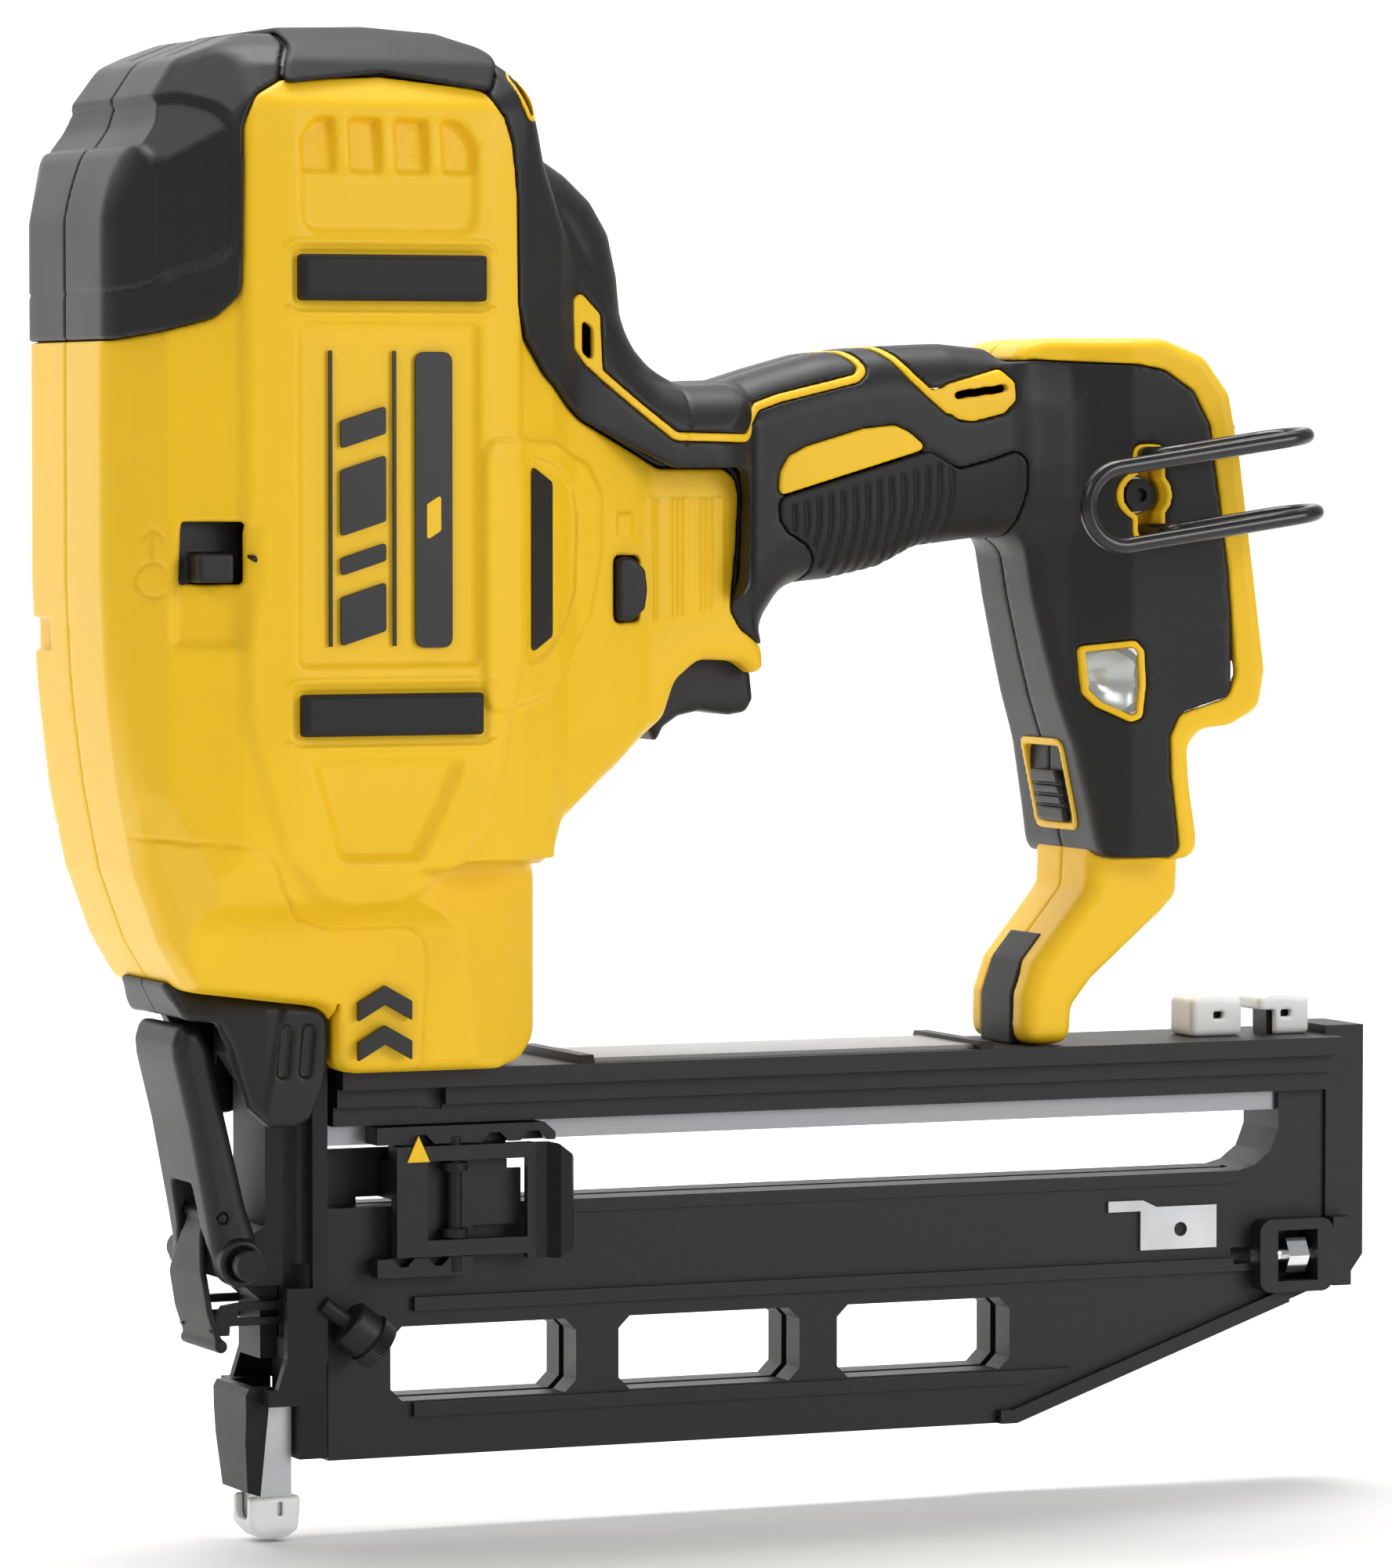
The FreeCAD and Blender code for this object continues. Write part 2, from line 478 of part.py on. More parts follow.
# ---- nose ----------------------------------------------------------------------------------------------
def make_nose():
    outline = [(-27, 112.5), (-29, 119.2), (-24, 119.2), (4.6, 115.2), (4.6, 98), (2, 91), (-8, 90),
               (-13, 98), (-15.5, 106), (-24, 112)]
    cover = side(outline, -21, 21)
    cover = drop(cover, box(-36, -12, -16.5, 16.5, 80, 115.6), box(-13, 10, -17, 17, 80, 115.6),
                 box(-9, 9.5, -17, 17, 80, 125))
    cover = cover.common(plan(both_y([(-29, 15), (-20, 18.6), (-9, 20.6), (5, 21)]), 80, 130))
    for x in (-5.5, 0.0):
        rib = soften(box(x - 1.8, x + 1.8, 20.5, 22.2, 100, 111.5), 1.6, along(V(0, 1, 0)))
        cover = join(cover, rib, mirrored(rib))
    save("nose_cover", cover)

    foot = TIP_HEIGHT + TRIP_TRAVEL + 0.6
    block = join(box(1.3, 9.5, -8.5, 8.5, 43, 122), box(3.2, 9.5, -8.5, 8.5, foot, 43))
    block = block.cut(box(0, 20, -NAIL_HALF, NAIL_HALF, 14, 90))
    lugs = [box(-8.5, 1.5, *sorted((sign * 10.4, sign * 12.4)), 101, 116) for sign in (-1, 1)]
    wings = [box(1.3, 4.5, *sorted((sign * 8.4, sign * 12.4)), 60, 116) for sign in (-1, 1)]
    block = join(block, *lugs, *wings)
    block = block.cut(rod_y(DOOR_X, DOOR_Z, -20, 20, DOOR_PIN_R))
    save("nose_block", block)

    door = side([(-1.1, 39.5), (-1.1, 108), (-5, 111), (-8, 110), (-9, 104), (-5, 98), (-5, 68), (-9, 66),
                 (-17, 64), (-17, 58), (-9, 55.5), (-5, 52), (-5, 39.5)], -10, 10)
    door = drop(door, box(-30, 10, 6.6, 20, 30, 55.4), box(-30, 10, -20, -6.6, 30, 55.4),
                rod_y(DOOR_X, DOOR_Z, -12, 12, DOOR_PIN_R + RUN_GAP),
                rod_y(LATCH_X, LATCH_Z, -12, 12, LATCH_PIN_R))
    save("front_door", door)
    pin = join(rod_y(LATCH_X, LATCH_Z, -20.5, 20.5, LATCH_PIN_R),
               rod_y(LATCH_X, LATCH_Z, -22.5, -19.5, 3.3), rod_y(LATCH_X, LATCH_Z, 19.5, 22.5, 3.3))
    save("latch_pin", pin)

    web = side([(-18, 64), (-19.4, 72), (-22.8, 90), (-26.2, 104), (-26.6, 108), (-25.4, 111.6),
                (-22.6, 111.4), (-22.8, 108), (-23.4, 104), (-20.2, 90), (-16.9, 73),
                (-15.6, 66)], -14.5, 14.5)
    for sign in (-1, 1):
        web = web.cut(box(-34, -10, *sorted((sign * 9.9, sign * 11.6)), 55, 84))
    cheek = side([(-19.4, 72), (-26.2, 104), (-25.4, 111), (-20.6, 110.8), (-18, 107), (-17, 102),
                  (-10.4, 72),
                  (-8, 64), (-8, 60), (-10, 57), (-14, 56), (-17, 59), (-18, 64)], 11.6, 14.5)
    lever = join(web, cheek, mirrored(cheek))
    lever = lever.cut(rod_y(LATCH_X, LATCH_Z, -20, 20, LATCH_PIN_R + RUN_GAP))
    lever = lever.cut(rod_y(LINK_X, LINK_Z, -20, 20, LINK_PIN_R + RUN_GAP))
    save("jam_lever", lever)

    strap = side([(-17.4, 72), (-14.4, 72), (-14.6, 68), (-17, 64), (-18.4, 58), (-16.6, 50), (-13.6, 44.4),
                  (-13.4, 42), (-15.6, 41.2), (-17.2, 43), (-18.4, 49), (-20, 58), (-18.6, 65)], 10.3, 11.3)
    link = join(strap, mirrored(strap), rod_y(-15.3, 42.8, -11.3, 11.3, 1.4),
                rod_y(LINK_X, LINK_Z, -14.2, -10.3, LINK_PIN_R),
                rod_y(LINK_X, LINK_Z, 10.3, 14.2, LINK_PIN_R))
    save("hook_link", link)

    plate = side([(-17.5, 46), (-15.5, 45), (-13, 45), (-12.8, 47), (1.3, 47), (1.3, 52), (-10, 52),
                  (-14.5, 51.4)], 8.0, 9.6)
    plate = plate.cut(side([(-11, 48.6), (0, 48.6), (0, 50.2), (-11, 50.2)], 7, 11))
    brace = box(0, 1.3, 6.7, 9.6, 44, 54)
    hooks = [join(plate, brace), mirrored(join(plate, brace))]
    save_group("hook_bracket", hooks)


def make_trip():
    plate = side([(-4.2, 33), (6.2, 33), (7.2, 40), (7.2, 55), (-2, 55), (-2, 40)], 12.9, 15.2)
    bar = side([(3.8, 54), (7.2, 54), (7.2, 128), (3.8, 128)], 12.9, 15.2)
    step = box(-6.0, 3.0, 8.8, 15.2, 30, 33.5)
    wing = join(plate, bar, step)
    shoe = side([(-8.4, TIP_HEIGHT + 1), (-5.4, TIP_HEIGHT), (-4.6, 26), (-4.2, 33.5), (-8.8, 33.5),
                 (-9.6, 32),
                 (-9.4, 22)], -12, 12)
    shoe = shoe.common(front(both_sides([(7.6, 9), (10.2, 28), (10.2, 34)]), -12, 0))
    shoe = shoe.cut(front(both_sides([(6.2, 9), (8.8, 28), (8.8, 34)]), SHOE_INSIDE, 0))
    stud = Part.makeCylinder(WHEEL_STUD_R, 15, V(6.0, -WHEEL_Y, 51.6), WHEEL_AXIS)
    save("contact_trip", join(wing, mirrored(wing), shoe, stud))

    foot = box(-5.2, 2.6, -5.0, 5.0, 3.0, 31.5).cut(box(-4.0, 1.6, -4.0, 4.0, 0, 40))
    foot = join(foot, box(-5.2, 2.6, 4.0, 8.8, 29.5, 31.5), box(-5.2, 2.6, -8.8, -4.0, 29.5, 31.5))
    foot = foot.cut(box(-4.0, 1.6, -4.0, 4.0, 0, 40))
    foot = join(foot, box(SHOE_INSIDE, -5.2, -4.6, 4.6, 26, 31.5))
    save("nose_foot", foot)

    tip = side([(-7, 4), (-5, 1), (-3.6, 0), (2.4, 0), (4.0, 2.5), (4.6, 9), (4.2, TIP_HEIGHT),
                (-7, TIP_HEIGHT)], -6.2, 6.2)
    tip = soften(tip, 1.2, lambda edge: edge.BoundBox.ZLength < 0.01 and abs(edge.BoundBox.ZMin) < 0.01
                 and edge.BoundBox.XLength > 5)
    tip = drop(tip, box(-5.2, 2.6, -5.0, 5.0, 3.0, 20), box(-8, -5, -3.6, 3.6, 4.4, 20),
               rod_z(0, 0, -1, 5, NAIL_EXIT_R))
    save("no_mar_tip", tip)

    hub = Part.makeCylinder(5.2, 5.8, V(*WHEEL_START), WHEEL_AXIS)
    ring_start = V(*WHEEL_START) + V(WHEEL_AXIS).multiply(5.8)
    ring = Part.makeCylinder(5.7, 3.6, ring_start, WHEEL_AXIS)
    teeth = []
    for k in range(24):
        angle = math.radians(15 * k)
        across = V(WHEEL_AXIS.z, 0, -WHEEL_AXIS.x)
        spoke = V(across).multiply(math.cos(angle) * 5.75) + V(0, math.sin(angle) * 5.75, 0)
        teeth.append(Part.makeCylinder(0.35, 5, ring_start + spoke - V(WHEEL_AXIS).multiply(0.5), WHEEL_AXIS))
    ring = ring.cut(Part.makeCompound(teeth))
    wheel = join(hub, ring).cut(
        Part.makeCylinder(WHEEL_STUD_R + RUN_GAP, 30, V(6.0, -WHEEL_Y, 51.6), WHEEL_AXIS))
    save("depth_wheel", wheel)


# ---- magazine ------------------------------------------------------------------------------------------
def window(x0, x1):
    low, high, cut = 29.0, 45.0, 2.6
    return side([(x0 + cut, low), (x1 - cut, low), (x1, low + cut), (x1, high - cut), (x1 - cut, high),
                 (x0 + cut, high), (x0, high - cut), (x0, low + cut)], -20, 20)


def make_magazine():
    top = join(box(MAG_FRONT, 249.5, -18, 18, 97, MAG_TOP), box(MAG_FRONT, 249.5, -14.5, 14.5, 93, 97),
               box(MAG_FRONT, 249.5, -12, 12, RAIL_TOP, 93))
    for x in (66.0, 161.0):
        top = join(top, front([(-18, MAG_TOP), (-17, 102.8), (17, 102.8), (18, MAG_TOP)], x - 1.6, x + 1.6))
    for x in SPARE_X:
        top = join(top, box(x - 3.4, x + 3.4, -3.2, 3.2, MAG_TOP, 107.5))
    top = top.cut(box(30, 34.5, -20, -11.5, 92, 97)).cut(box(30, 34.5, 11.5, 20, 92, 97))
    save("magazine_top", top)
    save("sight_plate", box(67.6, 159.4, -14, 14, MAG_TOP, MAG_TOP + 0.9))

    outline = [(MAG_FRONT, 17), (172, 17), (249.5, 44.3), (249.5, RAIL_TOP), (SLOT_BACK, RAIL_TOP),
               (SLOT_BACK, 80), (236, 75), (232, 72), (228, SLOT_LOW), (MAG_FRONT, SLOT_LOW)]
    channel = side(outline, -MAG_HALF, MAG_HALF)
    strips = [side([(29, 48.4), (231, 48.4), (231, 51.4), (29, 51.4)], -10, 10),
              side([(29, 25.6), (176, 25.6), (186, 28.6), (29, 28.6)], -9.7, 9.7),
              side([(29, 68.2), (228, 68.2), (228, SLOT_LOW), (29, SLOT_LOW)], -9.3, 9.3),
              side([(168, 17), (172, 17), (240, 41), (239, 44), (171, 20), (168, 20)], -10.6, 10.6)]
    boss = soften(box(231, 249.5, -13.5, 13.5, 43.5, 60), 3.0, along(V(0, 1, 0)))
    channel = join(channel, boss, *strips)
    nail_slot = side([(5, 20), (171, 20), (229, 41.5), (229, 80), (5, 80)], -NAIL_HALF - 0.3, NAIL_HALF + 0.3)
    pocket = box(235.5, 245.5, -15, -4.4, 46, 57.5)
    channel = drop(channel, nail_slot, pocket, rod_x(BOLT_Y, BOLT_Z, 226, 260, BOLT_R),
                   *[window(x0, x1) for x0, x1 in WINDOWS])
    save("magazine_channel", channel)
    cap = side([(249.5, 44.5), (256, 47), (MAG_BACK, 51), (MAG_BACK, 103), (249.5, 103)], -9.5, 9.5)
    cap = join(cap, box(249.5, 254, -13.5, 13.5, 44.5, 60))
    save("end_cap", drop(cap, rod_x(BOLT_Y, BOLT_Z, 240, 255, BOLT_R)))
    rail = box(MAG_FRONT, SLOT_BACK, -7, 7, SLOT_HIGH, RAIL_TOP)
    save("steel_rail", rail.cut(box(0, 250, -3.3, 3.3, SLOT_HIGH - 1, SLOT_HIGH + 2.2)))
    plate = side([(203, 54), (222, 54), (222, 63.6), (207, 63.6), (203.6, 65.2), (195, 65.2), (195, 62.8),
                  (203, 62.8)], -9.4, -8.5)
    save("latch_plate", plate.cut(rod_y(213, 58.4, -12, -6, 1.6)))
    bolt = rod_x(BOLT_Y, BOLT_Z, 230, 255, BOLT_R)
    save_group("end_bolt", [bolt, hex_prism(238.6, 243.6, BOLT_Y, BOLT_Z, 3.9).cut(bolt)])
    for k, x in enumerate(SPARE_X):
        pad = soften(box(x - 6.4, x + 6.4, -6, 6, MAG_TOP, 110.5), 1.5, along(V(0, 1, 0)))
        pad = pad.cut(box(x - 3.8, x + 3.8, -3.6, 3.6, 100, 108))
        save(f"spare_pad_{k + 1}", pad)


def make_pusher():
    carrier = join(
        side([(19, 84.6), (60, 84.6), (60, 86.2), (57.5, 88.4), (19, 88.4)], -14, -7.4),
        side([(19, 56.2), (41, 56.2), (41, 60.2), (19, 60.2)], -14, -9.7),
        box(24, 42, -10.8, -9.7, 56.2, 88.4),
        box(24, 50, -10.8, 5, 72.5, 80.5),
        box(24, 50, -10.2, -7.4, 72.5, 88.4),
        box(42, 53.2, -10.8, -9.7, 66.5, 78.5),
        box(12, 50, -0.9, 0.9, 72.5, 83),
        box(12, 19, -0.9, 0.9, 22, 83))
    for x in (29, 46, 55):
        carrier = carrier.cut(side([(x - 3.2, 84.5), (x + 3.2, 84.5), (x + 1.2, 86.6), (x - 1.2, 86.6)],
                                   -15, -11.2))
    for x in (25, 33):
        carrier = carrier.cut(side([(x - 2.6, 60.3), (x + 2.6, 60.3), (x + 0.8, 58.4), (x - 0.8, 58.4)],
                                   -15, -11.2))
    pin = join(rod_z(PUSHER_PIN_X, PUSHER_PIN_Y, 57, 86, PUSHER_PIN_R),
               rod_z(PUSHER_PIN_X, PUSHER_PIN_Y, 64.4, 66.2, 2.9),
               rod_z(PUSHER_PIN_X, PUSHER_PIN_Y, 78.6, 80.4, 2.9))
    carrier = carrier.cut(rod_z(PUSHER_PIN_X, PUSHER_PIN_Y, 57, 86, PUSHER_PIN_R))
    carrier = carrier.cut(rod_z(PUSHER_PIN_X, PUSHER_PIN_Y, 64.2, 66.4, 3.0))
    carrier = carrier.cut(rod_z(PUSHER_PIN_X, PUSHER_PIN_Y, 78.4, 80.6, 3.0))
    save("pusher", carrier)
    save("pusher_pin", pin)

    frame = side([(23, 60.5), (55, 60.5), (55, 84.2), (23, 84.2)], -15.2, -11.7)
    frame = frame.cut(side([(30, 64), (54, 64), (54, 81), (30, 81)], -20, 0))
    paddle = plan([(53, -15.2), (55, -15.2), (57, -16.4), (58.8, -20), (61, -21), (62, -19.4), (60, -14.6),
                   (58, -13.4), (55, -13.2), (53, -13.2)], 59.5, 84.2)
    paddle = paddle.common(side([(50, 59.5), (58.5, 59.5), (62, 62.5), (62, 81.2), (58.5, 84.2), (50, 84.2)],
                                -25, -10))
    latch = join(frame, paddle)
    latch = latch.cut(rod_z(PUSHER_PIN_X, PUSHER_PIN_Y, 50, 90, PUSHER_PIN_R + RUN_GAP))
    save("pusher_latch", latch)


make_housing()
make_trim()
make_electrics()
make_fasteners()
make_drive()
make_controls()
make_nose()
make_trip()
make_magazine()
make_pusher()
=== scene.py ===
import copy
import math
import bmesh
import bpy
import numpy as np
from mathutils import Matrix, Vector


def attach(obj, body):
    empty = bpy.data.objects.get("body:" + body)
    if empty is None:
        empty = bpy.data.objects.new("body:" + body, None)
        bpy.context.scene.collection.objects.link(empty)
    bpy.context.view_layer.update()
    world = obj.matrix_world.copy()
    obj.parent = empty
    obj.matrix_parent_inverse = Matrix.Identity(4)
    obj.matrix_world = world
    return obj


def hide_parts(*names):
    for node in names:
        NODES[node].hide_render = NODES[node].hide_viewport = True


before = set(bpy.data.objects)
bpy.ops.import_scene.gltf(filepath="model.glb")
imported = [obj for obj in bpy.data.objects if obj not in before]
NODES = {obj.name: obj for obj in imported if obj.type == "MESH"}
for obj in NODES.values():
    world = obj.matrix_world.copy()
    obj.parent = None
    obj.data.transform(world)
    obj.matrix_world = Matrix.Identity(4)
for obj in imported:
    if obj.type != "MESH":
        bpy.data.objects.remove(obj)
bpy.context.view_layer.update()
MM = 0.001
FINE = 0.55       # voxel of the housing pieces, in millimetres
CRISP = 0.4       # voxel of the small pieces
FINEST = 0.3      # voxel of the labels and the tip
SEAM = 0.12                              # half the gap along the housing's seam
FACES = 170000                           # most triangles a piece may have
ARC_STEPS = 5                            # points on each rounded corner of an outline
MIRROR = np.array([1, -1, 1], np.float32)  # left for right


def place_object(thing):
    bpy.context.scene.collection.objects.link(thing)


# ---- camera ----
def make_camera():
    azimuth, elevation = math.radians(-23.3), math.radians(2.62)
    target, distance = Vector((0.09893, 0.0, 0.15978)), 1.66096
    back = Vector((math.sin(azimuth) * math.cos(elevation), -math.cos(azimuth) * math.cos(elevation),
                   math.sin(elevation)))
    data = bpy.data.cameras.new("camera")
    data.lens = 174.6
    data.clip_start, data.clip_end = 0.05, 30.0
    camera = bpy.data.objects.new("camera", data)
    camera.location = target + back * distance
    camera.rotation_mode = "QUATERNION"
    camera.rotation_quaternion = (-back).to_track_quat("-Z", "Y")
    place_object(camera)
    bpy.context.scene.camera = camera


make_camera()


# ---- solids from distance fields ----
class Grid:
    """Points at a fixed step in a box, in millimetres. w is the distance out from the seam."""
    def __init__(self, low, high, step):
        self.low, self.step = np.array(low, np.float32), step
        axes = [np.arange(a, b + step, step, dtype=np.float32) for a, b in zip(low, high)]
        self.x = axes[0].reshape(-1, 1, 1)
        self.w = axes[1].reshape(1, -1, 1)
        self.z = axes[2].reshape(1, 1, -1)


def curve(points, radius, closed=True):
    """The same outline with each corner rounded by about that radius."""
    result = []
    count = len(points)
    for k, corner in enumerate(points):
        p = np.array(corner, float)
        if not closed and k in (0, count - 1):
            result.append((p[0], p[1]))
            continue
        a, b = np.array(points[k - 1], float) - p, np.array(points[(k + 1) % count], float) - p
        la, lb = np.linalg.norm(a), np.linalg.norm(b)
        half_turn = (math.pi - math.acos(max(-1.0, min(1.0, float(a @ b) / (la * lb))))) / 2
        reach = min(radius * math.tan(half_turn), 0.48 * la, 0.48 * lb)
        start, end = p + a / la * reach, p + b / lb * reach
        for t in np.linspace(0, 1, ARC_STEPS):
            q = (1 - t) ** 2 * start + 2 * t * (1 - t) * p + t * t * end
            result.append((q[0], q[1]))
    return result


def outline(points, a, b):
    """Distance to a closed outline in the plane of a and b, negative inside."""
    best, inside = np.float32(1e9), False
    for (a0, b0), (a1, b1) in zip(points, points[1:] + points[:1]):
        da, db = a1 - a0, b1 - b0
        pa, pb = a - a0, b - b0
        t = np.clip((pa * da + pb * db) / max(da * da + db * db, 1e-9), 0, 1)
        best = np.minimum(best, (pa - t * da) ** 2 + (pb - t * db) ** 2)
        if db != 0:
            inside = inside ^ (((b0 <= b) != (b1 <= b)) & (pa < da * pb / db))
    distance = np.sqrt(best)
    return np.where(inside, -distance, distance).astype(np.float32)


def line(points, a, b):
    """Distance to an open line of points."""
    best = np.float32(1e9)
    for (a0, b0), (a1, b1) in zip(points, points[1:]):
        da, db = a1 - a0, b1 - b0
        t = np.clip(((a - a0) * da + (b - b0) * db) / max(da * da + db * db, 1e-9), 0, 1)
        best = np.minimum(best, (a - a0 - t * da) ** 2 + (b - b0 - t * db) ** 2)
    return np.sqrt(best).astype(np.float32)


def both(a, b, radius=0.0):
    """Where both solids are, with the edge between them rounded."""
    if radius <= 0:
        return np.maximum(a, b)
    over_a, over_b = np.maximum(a + radius, 0), np.maximum(b + radius, 0)
    return np.minimum(np.maximum(a, b), -radius) + np.sqrt(over_a * over_a + over_b * over_b)


def either(a, b, radius=0.0):
    return -both(-a, -b, radius)


def without(a, b, radius=0.0):
    return both(a, -b, radius)


def ramp(distance, width):
    """1 well inside an outline, 0 outside it, smooth over the given width."""
    t = np.clip(-distance / width, 0, 1)
    return t * t * (3 - 2 * t)


def resample(values, old, new):
    """A field taken from one grid to another, linearly."""
    for axis, (a, b) in enumerate(((old.x, new.x), (old.w, new.w), (old.z, new.z))):
        if values.shape[axis] == 1:
            continue
        spot = np.clip((b.ravel() - a.ravel()[0]) / old.step, 0, values.shape[axis] - 1.001)
        whole_part = spot.astype(int)
        share = (spot - whole_part).astype(np.float32).reshape([-1 if k == axis else 1 for k in range(3)])
        values = (np.take(values, whole_part, axis) * (1 - share)
                  + np.take(values, whole_part + 1, axis) * share)
    return values


def slab(v, low, high):
    return np.maximum(low - v, v - high)


def block(grid, x0, x1, w0, w1, z0, z1, radius=0.0):
    return both(both(slab(grid.x, x0, x1), slab(grid.w, w0, w1), radius), slab(grid.z, z0, z1), radius)


def rod(a, b, a0, b0, radius):
    return np.sqrt((a - a0) ** 2 + (b - b0) ** 2) - radius


CORNERS = [(i, j, k) for i in (0, 1) for j in (0, 1) for k in (0, 1)]
EDGES = [(p, q) for p in range(8) for q in range(p + 1, 8)
         if sum(abs(a - b) for a, b in zip(CORNERS[p], CORNERS[q])) == 1]


def skin(field, grid):
    """Vertices and quads of the field's zero surface, by surface nets."""
    shape = [grid.x.size, grid.w.size, grid.z.size]
    field = np.broadcast_to(field, shape).astype(np.float32).copy()
    for axis in range(3):
        edge = [slice(None)] * 3
        for end in (0, -1):
            edge[axis] = end
            field[tuple(edge)] = np.maximum(field[tuple(edge)], 0.01)
    inside = field < 0
    cells = [n - 1 for n in shape]
    total = np.zeros(cells, np.uint8)
    for i, j, k in CORNERS:
        total += inside[i:i + cells[0], j:j + cells[1], k:k + cells[2]]
    spot = np.nonzero((total > 0) & (total < 8))
    number = np.full(cells, -1, np.int32)
    number[spot] = np.arange(len(spot[0]), dtype=np.int32)
    values = [field[spot[0] + i, spot[1] + j, spot[2] + k] for i, j, k in CORNERS]
    place, hits = np.zeros((len(spot[0]), 3), np.float32), np.zeros(len(spot[0]), np.float32)
    for p, q in EDGES:
        crosses = (values[p] < 0) != (values[q] < 0)
        gap = np.where(crosses, values[p] - values[q], 1)
        t = np.where(crosses, values[p] / gap, 0)
        for axis in range(3):
            start, step = CORNERS[p][axis], CORNERS[q][axis] - CORNERS[p][axis]
            place[:, axis] += np.where(crosses, start + step * t, 0)
        hits += crosses
    vertices = grid.low + (np.stack(spot, 1) + place / hits[:, None]) * grid.step
    quads = []
    for axis in range(3):
        first, second = [slice(None)] * 3, [slice(None)] * 3
        first[axis], second[axis] = slice(None, -1), slice(1, None)
        a, b = inside[tuple(first)], inside[tuple(second)]
        u, v = (axis + 1) % 3, (axis + 2) % 3
        for leaving in (True, False):
            at = np.nonzero((a & ~b) if leaving else (b & ~a))
            keep = (at[u] > 0) & (at[v] > 0) & (at[u] < cells[u]) & (at[v] < cells[v])
            at = [n[keep] for n in at]
            ring = []
            for du, dv in ((-1, -1), (0, -1), (0, 0), (-1, 0)):
                where = list(at)
                where[u], where[v] = at[u] + du, at[v] + dv
                ring.append(number[tuple(where)])
            quads.append(np.stack(ring if leaving else ring[::-1], 1))
    return vertices, np.concatenate(quads)


def mesh_piece(name, vertices, quads, material, body, replaces=(), limit=FACES):
    """A piece of the object from vertices in millimetres and quads, in the row frame."""
    mesh = bpy.data.meshes.new(name)
    mesh.vertices.add(len(vertices))
    mesh.vertices.foreach_set("co", (vertices * MM).astype(np.float32).ravel())
    mesh.loops.add(quads.size)
    mesh.loops.foreach_set("vertex_index", quads.astype(np.int32).ravel())
    mesh.polygons.add(len(quads))
    mesh.polygons.foreach_set("loop_start", np.arange(0, quads.size, quads.shape[1], dtype=np.int32))
    mesh.update(calc_edges=True)
    piece = bpy.data.objects.new(name, mesh)
    place_object(piece)
    triangles = len(quads) * (quads.shape[1] - 2)
    if limit < triangles:
        modifier = piece.modifiers.new("fewer", "DECIMATE")
        modifier.ratio = limit / triangles
        made = bpy.data.meshes.new_from_object(piece.evaluated_get(bpy.context.evaluated_depsgraph_get()))
        piece.modifiers.clear()
        piece.data = made
    piece.data.shade_smooth()
    finish_piece(piece, material, body, replaces)
    return piece


def finish_piece(piece, material, body, replaces=()):
    piece.data.materials.clear()
    piece.data.materials.append(MATERIALS[material])
    if replaces:
        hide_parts(*replaces)
    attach(piece, body)


def halves(name, field, grid, material, replaces, right=None, limit=FACES):
    """The left and right halves of a piece. The right one may have a field of its own."""
    vertices, quads = skin(both(field, SEAM - grid.w, 0.35), grid)
    left = vertices * MIRROR
    mesh_piece("left_" + name + "_part", left, quads[:, ::-1], material, "housing", replaces[0], limit)
    if right is not None:
        vertices, quads = skin(both(right, SEAM - grid.w, 0.35), grid)
    mesh_piece("right_" + name + "_part", vertices, quads, material, "housing", replaces[1], limit)


def whole(name, field, grid, material, replaces=(), body="housing", limit=FACES):
    """One piece whose field is given over the whole width, with w as Y."""
    vertices, quads = skin(field, grid)
    mesh_piece(name, vertices, quads, material, body, replaces, limit)


def mirrored(vertices, quads):
    """The mesh with its mirror image."""
    return (np.concatenate([vertices, vertices * MIRROR]),
            np.concatenate([quads, quads[:, ::-1] + len(vertices)]))


def both_hands(name, field, grid, material, replaces, limit=FACES):
    """One piece in two solids, the given one and its mirror image."""
    mesh_piece(name, *mirrored(*skin(field, grid)), material, "housing", replaces, limit)


# ---- materials ----
MATERIALS = {}


